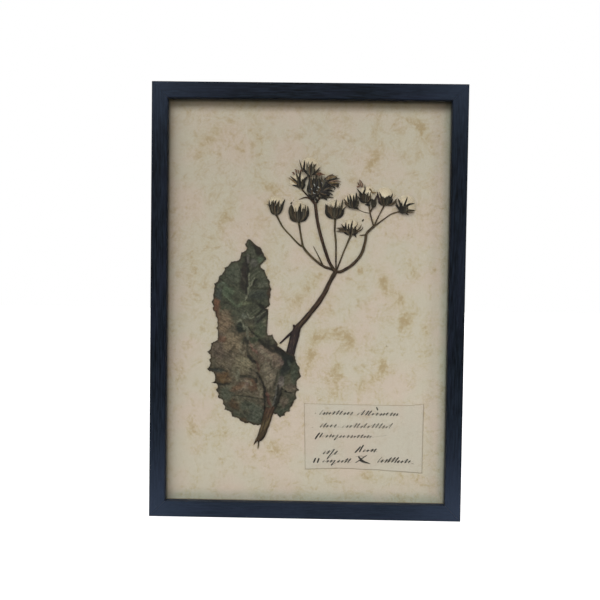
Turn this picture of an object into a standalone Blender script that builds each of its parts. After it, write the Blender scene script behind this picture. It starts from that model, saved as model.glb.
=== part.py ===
"""Pressed flower frame: a dried sow thistle on an aged sheet, behind glass in a slim wrapped-wood frame.

Metres, +Z up. The frame hangs upright and faces -Y, and its back lies on the wall plane, Y = 0.
The origin is on the back face of the top rail, halfway along it.
"""

import math
from collections import namedtuple

import bmesh
import bpy
from mathutils import Matrix, Vector

MM = 0.001
WELD = 0.00001
GAP = 0.3 * MM  # between two pieces that touch
OVERCUT = 1 * MM  # how far a cutter runs past what it cuts

# Rails
FRAME_WIDTH = 224 * MM
FRAME_HEIGHT = 311 * MM
FRAME_DEPTH = 20 * MM
FACE_WIDTH = 11.4 * MM  # a rail seen from the front
WALL_WIDTH = 6 * MM  # a rail behind its lip
LIP_DEPTH = 6 * MM
OUTER_ROUND = 0.9 * MM
INNER_ROUND = 0.6 * MM

# What the rails hold, from front to back
GLASS_SIZE = (210 * MM, 297 * MM)
GLASS_DEPTH = 2 * MM
SPACER_WIDTH = 3.4 * MM
SPACER_DEPTH = 3.4 * MM
SHEET_SIZE = (209.6 * MM, 296.6 * MM)
SHEET_DEPTH = 0.4 * MM
LABEL_DEPTH = 0.2 * MM
BOARD_SIZE = (209.6 * MM, 296.6 * MM)
BOARD_DEPTH = 2.5 * MM

# Back fittings
TAB_WIDTH = 8 * MM
TAB_LENGTH = 11.5 * MM
TAB_DEPTH = 0.5 * MM
TAB_BITE = 3 * MM  # how far a tab's point goes into the rail
TAB_SHOULDER = 1.2 * MM  # how far its full width goes in
TAB_TIP_WIDTH = 2.4 * MM
TAB_PLACES_LONG = (-95 * MM, 95 * MM)  # along the side rails, from their middle
TAB_PLACES_SHORT = (-55 * MM, 55 * MM)  # along the top and bottom rails
HANGER_LENGTH = 46 * MM
HANGER_HEIGHT = 9 * MM
HANGER_STRIP = 26 * MM  # the raised middle of the hanger
HANGER_RISE = 1.5 * MM
HANGER_SLOPE = 3 * MM  # along the strip, from a foot up to the raised middle
HANGER_GAUGE = 0.8 * MM
HANGER_DROP = 26 * MM  # from the frame's top edge to the hanger's middle
TOOTH_PITCH = 2.6 * MM
TOOTH_DEPTH = 1.7 * MM
TEETH = 7
RIVET_PITCH = 38 * MM
RIVET_SHANK = 1.2 * MM
RIVET_HOLE = 1.5 * MM
RIVET_HEAD = 2.7 * MM
RIVET_DOME = 1.0 * MM
RIVET_GRIP = 2 * MM  # how deep the shank sits in the board

# Heights of the plant over the sheet
STEM_MIDDLE = 1.2 * MM
STEM_HALF_THICKNESS = 0.8 * MM  # of the thickest stem, once pressed
HEAD_HALF_THICKNESS = 0.5 * MM
LOW_HEAD_MIDDLE = 1.3 * MM
HIGH_HEAD_MIDDLE = 2.7 * MM
CUP_HALF_DEPTH = 1.1 * MM  # before it is pressed
CUP_CROWN = 0.3  # how far a cup bulges above its rim, as a share of its depth
BRACT_HALF_WIDTH = 1.25 * MM
BRACT_TIP = 0.12 * MM
BRACT_ROOT = (0.7, 0.1)  # a bract's root from the rim's middle, as shares of the cup's half width and depth
TUFT_DEPTH = 0.2 * MM
TUFT_INNER = 3.2 * MM  # from the head's base to the tuft's root
LEAF_DEPTH = 0.4 * MM
LEAF_BRIDGE = 2.3 * MM  # how much higher the leaf runs where the stem is behind it
LEAF_BRIDGE_FOOT = 8.5  # mm from the stem's line, where the leaf starts to rise
LEAF_BRIDGE_RAMP = 4.5  # mm
LEAF_RIB = 0.35 * MM  # how much the leaf rises over its midrib
LEAF_RIB_FOOT = 3.5  # mm
LEAF_RIB_RAMP = 3.0  # mm
LEAF_WAVE = 0.12 * MM
LEAF_WAVE_LENGTH = 33.0  # mm across the leaf
LEAF_WAVE_DRIFT = 70.0  # mm along the leaf, over which the waves swing to and fro
LEAF_CELL = 6 * MM

# Places along the depth, from the wall plane towards the room
FACE_Y = -FRAME_DEPTH
LIP_BACK_Y = FACE_Y + LIP_DEPTH
GLASS_Y = LIP_BACK_Y + GAP
SPACER_Y = GLASS_Y + GLASS_DEPTH + GAP
SHEET_Y = SPACER_Y + SPACER_DEPTH + GAP
BOARD_Y = SHEET_Y + SHEET_DEPTH + GAP
BOARD_BACK_Y = BOARD_Y + BOARD_DEPTH
TAB_Y = BOARD_BACK_Y + GAP
CENTRE_Z = WALL_WIDTH / 2 - FRAME_HEIGHT / 2

# The plant in millimetres from the frame's centre, x to the right and z up.
# A route's stops are (x, z, half its width).
STEM = (
    (-33.2, -102.2, 2.6),
    (-31.9, -99.7, 2.9),
    (-29.3, -93.6, 3.1),
    (-28.4, -87.6, 3.2),
    (-27.0, -81.6, 3.3),
    (-25.4, -75.5, 3.2),
    (-20.9, -64.2, 3.1),
    (-16.9, -54.0, 3.1),
    (-13.6, -44.8, 3.1),
    (-11.0, -35.2, 3.1),
    (-9.1, -28.7, 3.1),
    (-7.0, -22.0, 3.0),
    (-4.9, -17.0, 2.2),
    (-1.8, -12.5, 1.7),
    (3.2, -6.3, 1.6),
    (8.1, 0.0, 1.6),
    (12.7, 7.6, 1.5),
    (16.2, 15.3, 1.4),
    (20.1, 22.3, 1.5),
)
STEM_TWIGS = (
    ((-32.6, -100.0, 1.0), (-34.9, -102.4, 0.8), (-37.1, -104.3, 0.2)),
    ((-32.4, -100.6, 1.0), (-33.4, -104.0, 0.6), (-34.1, -107.2, 0.2)),
    ((-5.4, -17.6, 1.0), (-12.6, -23.9, 0.8), (-19.0, -30.6, 0.4)),
    ((-8.2, -22.0, 0.8), (-9.1, -16.5, 0.5)),
    ((20.1, 22.3, 1.0), (17.6, 24.0, 0.9), (14.3, 25.1, 0.9)),
    ((20.1, 22.3, 1.1), (18.2, 25.0, 1.1), (16.6, 27.3, 1.1)),
    ((20.3, 22.3, 0.6), (20.4, 25.5, 0.5), (20.3, 29.0, 0.5)),
    ((20.6, 22.3, 0.6), (21.9, 26.2, 0.5), (23.2, 29.8, 0.5)),
    ((20.1, 22.3, 1.1), (23.6, 22.4, 1.1), (26.2, 23.6, 1.0)),
)
BRANCHES = {
    "branch_left": (
        ((13.9, 25.2, 0.9), (11.6, 26.0, 0.9), (4.8, 30.9, 0.8), (-1.1, 36.7, 0.8), (-3.8, 40.4, 0.9)),
        ((-3.8, 40.4, 0.7), (-6.5, 41.7, 0.6), (-12.3, 47.6, 0.5), (-18.4, 54.2, 0.5), (-22.8, 61.9, 0.6)),
        ((-3.8, 40.4, 0.7), (-5.4, 50.0, 0.5), (-6.4, 57.1, 0.6)),
        ((11.2, 26.3, 0.6), (7.8, 33.2, 0.4), (3.9, 40.4, 0.2)),
    ),
    "branch_middle": (
        ((16.3, 27.8, 1.1), (14.4, 32.0, 1.1), (9.8, 45.7, 1.1), (6.6, 58.2, 1.1), (4.6, 72.0, 1.1)),
        ((4.6, 70.6, 0.7), (2.6, 76.5, 0.5), (1.2, 84.0, 0.5), (0.2, 91.6, 0.5)),
        ((4.4, 70.8, 0.7), (-1.4, 77.4, 0.5), (-4.9, 81.1, 0.5)),
        ((4.8, 70.8, 0.7), (6.6, 73.2, 0.6), (7.8, 75.1, 0.6)),
        ((3.6, 73.0, 0.5), (-1.6, 75.6, 0.5), (-7.1, 74.1, 0.2)),
    ),
    "branch_right": (
        (
            (26.6, 23.9, 1.0),
            (32.2, 27.6, 1.0),
            (38.7, 35.1, 1.0),
            (41.6, 43.9, 1.0),
            (42.5, 49.8, 0.9),
            (44.3, 52.7, 0.9),
            (47.2, 55.4, 1.0),
        ),
        ((47.2, 55.0, 0.7), (45.8, 59.7, 0.6), (44.6, 64.0, 0.6), (43.2, 71.3, 0.6)),
        ((47.2, 55.2, 0.7), (50.7, 63.1, 0.5), (54.2, 69.8, 0.5)),
        ((46.8, 54.9, 0.7), (53.7, 60.2, 0.5), (60.2, 64.7, 0.5), (67.4, 66.5, 0.5)),
        ((44.6, 64.4, 0.5), (41.0, 65.2, 0.4), (37.4, 66.7, 0.4), (34.8, 68.4, 0.4)),
        ((44.4, 65.6, 0.6), (45.6, 67.8, 0.6), (46.4, 69.4, 0.6)),
        ((42.4, 49.3, 0.6), (39.6, 49.0, 0.4), (37.2, 48.9, 0.2)),
    ),
    "stalk_middle": (((20.3, 29.4, 0.5), (20.2, 43.6, 0.5), (19.4, 59.9, 0.6)),),
    "stalk_low_right": (((23.4, 30.2, 0.5), (26.1, 37.6, 0.5), (30.7, 48.4, 0.6)),),
}

# A flower head's cup is (x and z of its rim's middle, half its width, its depth), and its bracts
# end at the tips, all from its base. A high head lies over a neighbour.
Head = namedtuple("Head", "base high cup tips")
HEADS = {
    1: Head(
        (-23.1, 62.6),
        False,
        (0.0, 5.0, 4.3, 5.0),
        ((-6.5, 7.4), (-4.6, 10.6), (-1.6, 10.4), (-0.2, 10.6), (2.0, 10.6), (4.7, 8.2), (6.3, 10.6)),
    ),
    2: Head(
        (-6.4, 57.8),
        False,
        (-0.2, 6.2, 7.2, 6.2),
        ((-7.6, 10.4), (-5.6, 13.6), (-4.4, 10.2), (0.2, 10.2), (1.3, 12.7), (4.6, 12.3), (6.5, 11.8)),
    ),
    3: Head(
        (-5.2, 81.6),
        False,
        (-1.0, 3.2, 3.0, 3.2),
        ((-6.3, 2.3), (-9.0, 9.5), (-6.8, 8.2), (-3.9, 11.8), (-1.2, 12.7), (4.0, 7.0)),
    ),
    4: Head(
        (0.1, 90.7),
        True,
        (0.5, 4.2, 3.9, 4.2),
        ((-6.5, 11.6), (-3.0, 11.6), (-0.4, 9.9), (2.8, 10.4), (6.0, 9.5), (8.1, 6.2), (-4.6, 5.0)),
    ),
    5: Head(
        (4.4, 73.5),
        True,
        (-0.6, 9.6, 3.9, 9.0),
        ((-1.4, 16.4), (1.0, 15.2), (2.5, 16.0), (5.1, 14.6), (-4.0, 13.0), (2.5, -1.9), (-4.4, 4.4)),
    ),
    6: Head(
        (8.1, 75.6),
        False,
        (3.4, 7.6, 5.6, 7.4),
        (
            (10.6, 0.0),
            (11.3, 6.0),
            (14.0, 9.0),
            (15.7, 12.0),
            (13.9, 15.7),
            (8.8, 16.4),
            (3.7, 16.0),
            (0.4, 14.6),
        ),
    ),
    7: Head(
        (19.3, 60.4),
        False,
        (0.0, 5.8, 6.7, 5.8),
        ((-6.7, 10.4), (-5.0, 9.0), (-1.6, 9.4), (1.2, 13.2), (2.6, 9.0), (6.5, 10.9), (7.9, 8.6)),
    ),
    8: Head(
        (30.9, 48.9),
        False,
        (0.8, 3.4, 4.8, 3.4),
        (
            (-9.2, 3.5),
            (-6.2, 7.3),
            (-3.3, 8.9),
            (-1.0, 7.7),
            (1.2, 10.2),
            (5.0, 8.5),
            (7.9, 7.3),
            (8.9, 5.6),
            (4.0, -1.5),
        ),
    ),
    9: Head(
        (33.7, 68.0),
        True,
        (-1.4, 4.6, 4.1, 4.6),
        ((-7.9, 6.7), (-5.4, 8.4), (-3.1, 10.2), (-0.9, 9.6), (1.0, 11.6), (2.9, 10.0)),
    ),
    10: Head(
        (42.9, 71.9),
        False,
        (-2.0, 3.6, 4.1, 3.7),
        ((-7.9, 10.8), (-5.2, 9.2), (-5.4, 15.3), (-1.9, 12.0), (1.0, 10.8), (2.3, 8.0), (-4.4, -0.6)),
    ),
    11: Head((46.1, 68.7), True, (1.4, 3.8, 1.9, 3.8), ((3.5, 7.8), (2.0, 7.0), (4.2, 6.2))),
    12: Head(
        (54.5, 70.4),
        False,
        (0.8, 4.2, 4.4, 4.2),
        ((-4.7, 10.2), (-3.2, 10.0), (-4.9, 7.0), (2.6, 7.6), (5.2, 7.4), (6.7, 8.9), (8.1, 4.8)),
    ),
    13: Head(
        (67.0, 66.5),
        True,
        (1.0, 1.6, 3.1, 3.4),
        ((-4.4, 8.3), (-2.7, 9.8), (4.6, 10.4), (7.0, 7.0), (10.0, 5.4), (10.4, 0.6), (4.6, -3.3)),
    ),
}

# A seed tuft is (degrees from upright, half its spread in degrees, its reach from the head's base).
TUFTS = {
    1: (0, 26, 12.9),
    2: (0, 31, 14.5),
    3: (-30, 40, 11.6),
    4: (4, 40, 13.0),
    7: (3, 31, 13.8),
    8: (-2, 48, 11.5),
    9: (-27, 33, 11.2),
    10: (-7, 27, 12.6),
    12: (3, 36, 12.7),
    13: (36, 46, 12.3),
}

LEAF_OUTLINE = (
    (-42.7, 44.9), (-36.9, 41.0), (-33.5, 38.2), (-31.5, 34.4), (-30.3, 31.1), (-34.0, 26.0),
    (-31.4, 22.1), (-28.8, 16.1), (-27.0, 14.5), (-26.2, 9.0), (-26.9, 1.7), (-27.2, -3.3),
    (-29.1, -5.5), (-27.7, -6.6), (-28.2, -12.2), (-28.7, -19.4), (-28.1, -24.4), (-24.4, -24.4),
    (-23.0, -28.7), (-20.5, -32.4), (-15.0, -36.1), (-8.1, -40.6), (-7.1, -44.2), (-4.9, -49.0),
    (-4.0, -54.1), (-6.0, -59.4), (-5.6, -63.9), (-7.1, -66.6), (-6.7, -70.3), (-9.7, -75.2),
    (-12.6, -80.1), (-15.0, -83.5), (-18.6, -84.2), (-23.5, -82.1), (-31.9, -89.5), (-33.1, -90.8),
    (-37.9, -90.2), (-43.7, -88.9), (-47.7, -86.8), (-52.5, -83.8), (-58.1, -78.4), (-60.0, -73.6),
    (-62.7, -69.4), (-64.1, -64.8), (-64.0, -62.1), (-66.7, -59.8), (-66.2, -57.2), (-67.7, -51.8),
    (-71.6, -49.9), (-69.6, -45.8), (-68.7, -42.1), (-71.3, -37.4), (-68.8, -31.8), (-64.9, -29.4),
    (-64.3, -20.0), (-64.9, -12.8), (-67.2, -7.2), (-68.4, -0.6), (-67.3, 6.7), (-66.6, 12.2),
    (-63.0, 17.3), (-59.7, 22.9), (-57.3, 25.7), (-54.0, 28.5), (-49.5, 29.7), (-46.8, 34.7),
    (-43.5, 38.3), (-45.0, 40.9), (-44.1, 42.5),
)
MIDRIB = ((-26.5, -76.0), (-31.1, -57.5), (-35.6, -44.4), (-39.0, -32.0), (-42.7, 0.7), (-44.5, 35.4))
STEM_BEHIND_LEAF = ((-25.4, -75.5), (-20.9, -64.2), (-16.9, -54.0), (-13.6, -44.8), (-11.0, -35.2))

LABEL_OUTLINE = (
    (-1.4, -73.7), (27.8, -73.9), (60.2, -74.0), (76.4, -73.8), (85.8, -72.7),
    (85.4, -123.6), (54.6, -121.9), (25.9, -121.1), (-0.1, -122.2),
)


for old in list(bpy.data.objects):
    bpy.data.objects.remove(old, do_unlink=True)

parts = bpy.data.collections.new("pressed_flower_frame")
cutters = bpy.data.collections.new("cutters")
bpy.context.scene.collection.children.link(parts)
bpy.context.scene.collection.children.link(cutters)
centre = bpy.data.objects.new("frame_centre", None)
centre.location.z = CENTRE_Z
parts.objects.link(centre)


def material(name, color, roughness, metallic=0.0, transmission=0.0):
    made = bpy.data.materials.new(name)
    made.use_nodes = True
    shader = made.node_tree.nodes["Principled BSDF"]
    shader.inputs["Base Color"].default_value = (*color, 1.0)
    shader.inputs["Roughness"].default_value = roughness
    shader.inputs["Metallic"].default_value = metallic
    shader.inputs["Transmission Weight"].default_value = transmission
    return made


rail_foil = material("rail_foil", (0.014, 0.019, 0.032), 0.5)
window_glass = material("window_glass", (0.95, 0.97, 0.96), 0.03, transmission=1.0)
spacer_card = material("spacer_card", (0.30, 0.26, 0.20), 0.9)
aged_paper = material("aged_paper", (0.48, 0.42, 0.315), 0.9)
label_paper = material("label_paper", (0.50, 0.43, 0.33), 0.9)
hardboard = material("hardboard", (0.20, 0.115, 0.055), 0.8)
zinc_steel = material("zinc_steel", (0.62, 0.62, 0.60), 0.35, metallic=1.0)
stem_brown = material("stem_brown", (0.045, 0.028, 0.018), 0.7)
leaf_green = material("leaf_green", (0.055, 0.052, 0.032), 0.75)
bract_dark = material("bract_dark", (0.028, 0.022, 0.016), 0.75)
pappus_cream = material("pappus_cream", (0.60, 0.52, 0.37), 0.9)


def add(name, mesh, finish):
    """A named part on the frame's centre."""
    solid = bpy.data.objects.new(name, mesh)
    solid.parent = centre
    mesh.materials.clear()
    mesh.materials.append(finish)
    parts.objects.link(solid)
    return solid


def cutter(name, mesh):
    """A tool for a cut or a join, which isn't a part itself."""
    tool = bpy.data.objects.new(name, mesh)
    tool.parent = centre
    tool.hide_render = True
    tool.display_type = "WIRE"
    cutters.objects.link(tool)
    return tool


def cut(solid, tool, operation="DIFFERENCE"):
    modifier = solid.modifiers.new(tool.name, "BOOLEAN")
    modifier.operation = operation
    modifier.object = tool


def finished(work, name):
    """The mesh of a bmesh, which is freed."""
    mesh = bpy.data.meshes.new(name)
    bmesh.ops.recalc_face_normals(work, faces=work.faces)
    work.to_mesh(mesh)
    work.free()
    return mesh


def block(name, low, high):
    """A box between two corners."""
    low, high = Vector(low), Vector(high)
    work = bmesh.new()
    size = Matrix.Diagonal((*(high - low), 1.0))
    bmesh.ops.create_cube(work, size=1.0, matrix=Matrix.Translation((low + high) / 2) @ size)
    return finished(work, name)


def panel(name, size, front_y, depth):
    """A flat sheet or board across the frame, centred in it."""
    width, height = size
    low = (-width / 2, front_y, -height / 2)
    high = (width / 2, front_y + depth, height / 2)
    return block(name, low, high)


def mesh_of(maker):
    """A curve's or a modified object's shape as one closed mesh, in place of the object."""
    bpy.context.view_layer.update()
    shape = maker.evaluated_get(bpy.context.evaluated_depsgraph_get())
    mesh = bpy.data.meshes.new_from_object(shape)
    mesh.transform(maker.matrix_world)
    bpy.data.objects.remove(maker, do_unlink=True)
    work = bmesh.new()
    work.from_mesh(mesh)
    bmesh.ops.remove_doubles(work, verts=work.verts, dist=WELD)
    return finished(work, mesh.name)


def flat_shape(name, outline, front_y, depth):
    """An outline of (x, z) points in metres, filled and made as thick as depth."""
    curve = bpy.data.curves.new(name, "CURVE")
    curve.dimensions = "2D"
    curve.fill_mode = "BOTH"
    curve.extrude = depth / 2
    spline = curve.splines.new("POLY")
    spline.points.add(len(outline) - 1)
    for point, (x, z) in zip(spline.points, outline):
        point.co = (x, z, 0.0, 1.0)
    spline.use_cyclic_u = True
    shape = bpy.data.objects.new(name, curve)
    shape.matrix_world = Matrix.Translation((0, front_y + depth / 2, 0)) @ Matrix.Rotation(math.pi / 2, 4, "X")
    parts.objects.link(shape)
    return mesh_of(shape)


def in_metres(points):
    return [Vector(point) * MM for point in points]


def smooth(stops, steps):
    """Points on a Catmull-Rom curve through the stops, with as many steps in each span."""
    stops = [Vector(stop) for stop in stops]
    ends = [2 * stops[0] - stops[1], *stops, 2 * stops[-1] - stops[-2]]
    points = []
    for before, start, end, after in zip(ends, ends[1:], ends[2:], ends[3:]):
        for step in range(steps):
            t = step / steps
            bend = (2 * before - 5 * start + 4 * end - after) * t**2
            twist = (3 * start - before - 3 * end + after) * t**3
            points.append((2 * start + (end - before) * t + bend + twist) / 2)
    points.append(stops[-1])
    return points


def tube(name, stops, steps=2, roundness=2, extra=0.0):
    """A round stem in the plane Y = 0 through stops of (x, z, half width) in metres."""
    curve = bpy.data.curves.new(name, "CURVE")
    curve.dimensions = "3D"
    curve.bevel_depth = MM
    curve.bevel_resolution = roundness
    curve.use_fill_caps = True
    spline = curve.splines.new("POLY")
    points = smooth(stops, steps)
    spline.points.add(len(points) - 1)
    for point, (x, z, half_width) in zip(spline.points, points):
        point.co = (x, 0.0, z, 1.0)
        point.radius = (half_width + extra) / MM
    shape = bpy.data.objects.new(name, curve)
    parts.objects.link(shape)
    return mesh_of(shape)


def fused(name, meshes):
    """One body from meshes that grow into each other."""
    body = bpy.data.objects.new(name, meshes[0])
    parts.objects.link(body)
    for number, mesh in enumerate(meshes[1:]):
        tool = bpy.data.objects.new(f"{name}_{number}", mesh)
        parts.objects.link(tool)
        cut(body, tool, "UNION")
        joined = mesh_of(body)
        bpy.data.objects.remove(tool, do_unlink=True)
        body = bpy.data.objects.new(name, joined)
        parts.objects.link(body)
    return mesh_of(body)


def pressed(mesh, half_thickness, middle):
    """Squeezes a mesh about Y = 0, thick parts the most, and lays its middle that high over the sheet."""
    for vertex in mesh.vertices:
        vertex.co.y = half_thickness * math.tanh(vertex.co.y / half_thickness)
        vertex.co.y += SHEET_Y - middle
    return mesh


def arc(centre_point, radius, start, end, steps):
    """Points round a centre, with angles in degrees."""
    points = []
    for step in range(steps + 1):
        angle = math.radians(start + (end - start) * step / steps)
        x = centre_point[0] + radius * math.cos(angle)
        z = centre_point[1] + radius * math.sin(angle)
        points.append((x, z))
    return points


# Rails: an L section with a lip in front, mitred at 45 degrees at both ends.
def rail_section():
    """(inset from the outer edge, y) corners of the section, with the face's two edges rounded."""
    outer = arc((OUTER_ROUND, FACE_Y + OUTER_ROUND), OUTER_ROUND, 180, 270, 3)
    inner = arc((FACE_WIDTH - INNER_ROUND, FACE_Y + INNER_ROUND), INNER_ROUND, 270, 360, 3)
    back = [(FACE_WIDTH, LIP_BACK_Y), (WALL_WIDTH, LIP_BACK_Y), (WALL_WIDTH, 0), (0, 0)]
    return outer + inner + back


def rail(name, length, reach, turn):
    """A rail as long as length whose outer edge is reach from the centre, turned clockwise from the top."""
    mitre_gap = GAP / 2 * math.sqrt(2)
    work = bmesh.new()
    ends = []
    for inset, y in rail_section():
        end = length / 2 - inset - mitre_gap
        ends.append(work.verts.new((-end, y, reach - inset)))
    face = work.faces.new(ends)
    grown = bmesh.ops.extrude_face_region(work, geom=[face])["geom"]
    for vertex in (item for item in grown if isinstance(item, bmesh.types.BMVert)):
        vertex.co.x *= -1
    bmesh.ops.rotate(work, verts=work.verts, matrix=Matrix.Rotation(math.radians(turn), 3, "Y"))
    return add(name, finished(work, name), rail_foil)


def tab_outline():
    """A tab with its point up and its other end round, measured from the rail's inner wall."""
    half = TAB_WIDTH / 2
    point = [(-TAB_TIP_WIDTH / 2, TAB_BITE), (TAB_TIP_WIDTH / 2, TAB_BITE), (half, TAB_SHOULDER)]
    end = arc((0, TAB_BITE + half - TAB_LENGTH), half, 0, -180, 6)
    return [*point, *end, (-half, TAB_SHOULDER)]


def add_tab(name, holder, reach, along, turn):
    """A flat steel point pushed into the rail's inner wall, over the back of the board."""
    place = Matrix.Rotation(math.radians(turn), 4, "Y") @ Matrix.Translation((along, 0, reach - WALL_WIDTH))
    mesh = flat_shape(name, tab_outline(), TAB_Y, TAB_DEPTH)
    mesh.transform(place)
    add(name, mesh, zinc_steel)
    half = TAB_WIDTH / 2 + GAP
    slot = block(
        name + "_slot", (-half, TAB_Y - GAP, -GAP), (half, TAB_Y + TAB_DEPTH + GAP, TAB_BITE + GAP)
    )
    slot.transform(place)
    cut(holder, cutter(name + "_slot", slot))


SIDES = (
    ("top", FRAME_WIDTH, FRAME_HEIGHT / 2, TAB_PLACES_SHORT, 0),
    ("right", FRAME_HEIGHT, FRAME_WIDTH / 2, TAB_PLACES_LONG, 90),
    ("bottom", FRAME_WIDTH, FRAME_HEIGHT / 2, TAB_PLACES_SHORT, 180),
    ("left", FRAME_HEIGHT, FRAME_WIDTH / 2, TAB_PLACES_LONG, 270),
)
for side, length, reach, tab_places, turn in SIDES:
    holder = rail("rail_" + side, length, reach, turn)
    for number, along in enumerate(tab_places, 1):
        add_tab(f"tab_{side}_{number}", holder, reach, along, turn)

# Glass, spacers, sheet and board, stacked in the rebate behind the lip.
add("glass_pane", panel("glass_pane", GLASS_SIZE, GLASS_Y, GLASS_DEPTH), window_glass)
add("herbarium_sheet", panel("herbarium_sheet", SHEET_SIZE, SHEET_Y, SHEET_DEPTH), aged_paper)
board = add("backing_board", panel("backing_board", BOARD_SIZE, BOARD_Y, BOARD_DEPTH), hardboard)

spacer_x, spacer_z = (size / 2 for size in GLASS_SIZE)
for side, sign in (("left", -1), ("right", 1)):
    inner, outer = sorted((sign * (spacer_x - SPACER_WIDTH), sign * spacer_x))
    upright = block(
        "spacer_" + side, (inner, SPACER_Y, -spacer_z), (outer, SPACER_Y + SPACER_DEPTH, spacer_z)
    )
    add("spacer_" + side, upright, spacer_card)
for side, sign in (("top", 1), ("bottom", -1)):
    low, high = sorted((sign * (spacer_z - SPACER_WIDTH), sign * spacer_z))
    half = spacer_x - SPACER_WIDTH - GAP
    across = block("spacer_" + side, (-half, SPACER_Y, low), (half, SPACER_Y + SPACER_DEPTH, high))
    add("spacer_" + side, across, spacer_card)

# Sawtooth hanger: a steel strip with flat feet, riveted to the board in its recess.
HANGER_Z = FRAME_HEIGHT / 2 - HANGER_DROP


def hanger_mesh():
    """The strip's plan is a line with a raised middle, thickened and made as high as the strip."""
    end = HANGER_LENGTH / 2
    crown = HANGER_STRIP / 2
    foot = crown + HANGER_SLOPE
    plan = ((-end, 0), (-foot, 0), (-crown, HANGER_RISE), (crown, HANGER_RISE), (foot, 0), (end, 0))
    work = bmesh.new()
    line = [work.verts.new((x, TAB_Y + rise, HANGER_Z - HANGER_HEIGHT / 2)) for x, rise in plan]
    edges = [work.edges.new(pair) for pair in zip(line, line[1:])]
    grown = bmesh.ops.extrude_edge_only(work, edges=edges)["geom"]
    upper = [item for item in grown if isinstance(item, bmesh.types.BMVert)]
    bmesh.ops.translate(work, verts=upper, vec=(0, 0, HANGER_HEIGHT))
    strip = bmesh.ops.extrude_face_region(work, geom=work.faces[:])["geom"]
    back = [item for item in strip if isinstance(item, bmesh.types.BMVert)]
    bmesh.ops.translate(work, verts=back, vec=(0, HANGER_GAUGE, 0))
    return finished(work, "sawtooth_hanger")


def tooth_notches():
    """A saw edge that bites into the strip from below."""
    low = HANGER_Z - HANGER_HEIGHT / 2
    edge = []
    for number in range(2 * TEETH + 1):
        x = (number - TEETH) * TOOTH_PITCH / 2
        edge.append((x, low + TOOTH_DEPTH * (number % 2) - GAP))
    half = TEETH * TOOTH_PITCH / 2
    below = [(half, low - TOOTH_DEPTH), (-half, low - TOOTH_DEPTH)]
    depth = GAP + HANGER_RISE + HANGER_GAUGE + OVERCUT
    return flat_shape("tooth_notches", edge + below, BOARD_BACK_Y, depth)


def rod_along_y(name, radius, start, end, x, z):
    """A round rod between two depths."""
    work = bmesh.new()
    place = Matrix.Translation((x, (start + end) / 2, z)) @ Matrix.Rotation(math.pi / 2, 4, "X")
    bmesh.ops.create_cone(
        work, cap_ends=True, segments=16, radius1=radius, radius2=radius, depth=end - start, matrix=place
    )
    return finished(work, name)


def rivet_mesh(name):
    """A domed head on a shank, turned about its own axis."""
    head = GAP + RIVET_DOME
    dome = [(RIVET_HEAD * x, GAP + RIVET_DOME * rise) for x, rise in arc((0, 0), 1, 90, 0, 3)]
    shank_end = -HANGER_GAUGE - GAP - RIVET_GRIP
    profile = [(0, head), *dome[1:], (RIVET_SHANK, GAP), (RIVET_SHANK, shank_end), (0, shank_end)]
    work = bmesh.new()
    line = [work.verts.new((radius, 0, height)) for radius, height in profile]
    for pair in zip(line, line[1:]):
        work.edges.new(pair)
    mesh = bpy.data.meshes.new(name)
    work.to_mesh(mesh)
    work.free()
    shape = bpy.data.objects.new(name, mesh)
    parts.objects.link(shape)
    screw = shape.modifiers.new("turned", "SCREW")
    screw.steps = 12
    screw.render_steps = 12
    screw.use_merge_vertices = True
    screw.merge_threshold = WELD
    screw.use_smooth_shade = True
    return mesh_of(shape)


hanger = add("sawtooth_hanger", hanger_mesh(), zinc_steel)
cut(hanger, cutter("tooth_notches", tooth_notches()))
for side, sign in (("left", -1), ("right", 1)):
    x = sign * RIVET_PITCH / 2
    foot_back = TAB_Y + HANGER_GAUGE
    hole = cutter(
        "hole_" + side,
        rod_along_y("hole_" + side, RIVET_HOLE, BOARD_Y - OVERCUT, foot_back + OVERCUT, x, HANGER_Z),
    )
    cut(board, hole)
    cut(hanger, hole)
    rivet = rivet_mesh("rivet_" + side)
    rivet.transform(Matrix.Translation((x, foot_back, HANGER_Z)) @ Matrix.Rotation(-math.pi / 2, 4, "X"))
    add("rivet_" + side, rivet, zinc_steel)

# Label: an old slip of paper, pasted low on the right.
label = flat_shape("label", in_metres(LABEL_OUTLINE), SHEET_Y - GAP - LABEL_DEPTH, LABEL_DEPTH)
add("label", label, label_paper)

# Stem and branches: round in life, pressed flat, and split just past the main fork.
stem_meshes = [tube("stem", in_metres(STEM), steps=1)]
for twig in STEM_TWIGS:
    stem_meshes.append(tube("twig", in_metres(twig), roundness=1))
add("stem", pressed(fused("stem", stem_meshes), STEM_HALF_THICKNESS, STEM_MIDDLE), stem_brown)
for name, routes in BRANCHES.items():
    meshes = [tube(name, in_metres(route), roundness=1) for route in routes]
    add(name, pressed(fused(name, meshes), STEM_HALF_THICKNESS, STEM_MIDDLE), stem_brown)


# Leaf: one thin blade that clasps the stem. It lies on the sheet and bridges the stem behind it.
def distance_to(line, x, z):
    """How far a point is from a line of (x, z) points."""
    here = Vector((x, z))
    nearest = []
    for start, end in zip(line, line[1:]):
        start, span = Vector(start), Vector(end) - Vector(start)
        share = max(0.0, min(1.0, (here - start).dot(span) / span.length_squared))
        nearest.append((start + share * span - here).length)
    return min(nearest)


def ease(value):
    value = max(0.0, min(1.0, value))
    return value * value * (3 - 2 * value)


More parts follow.
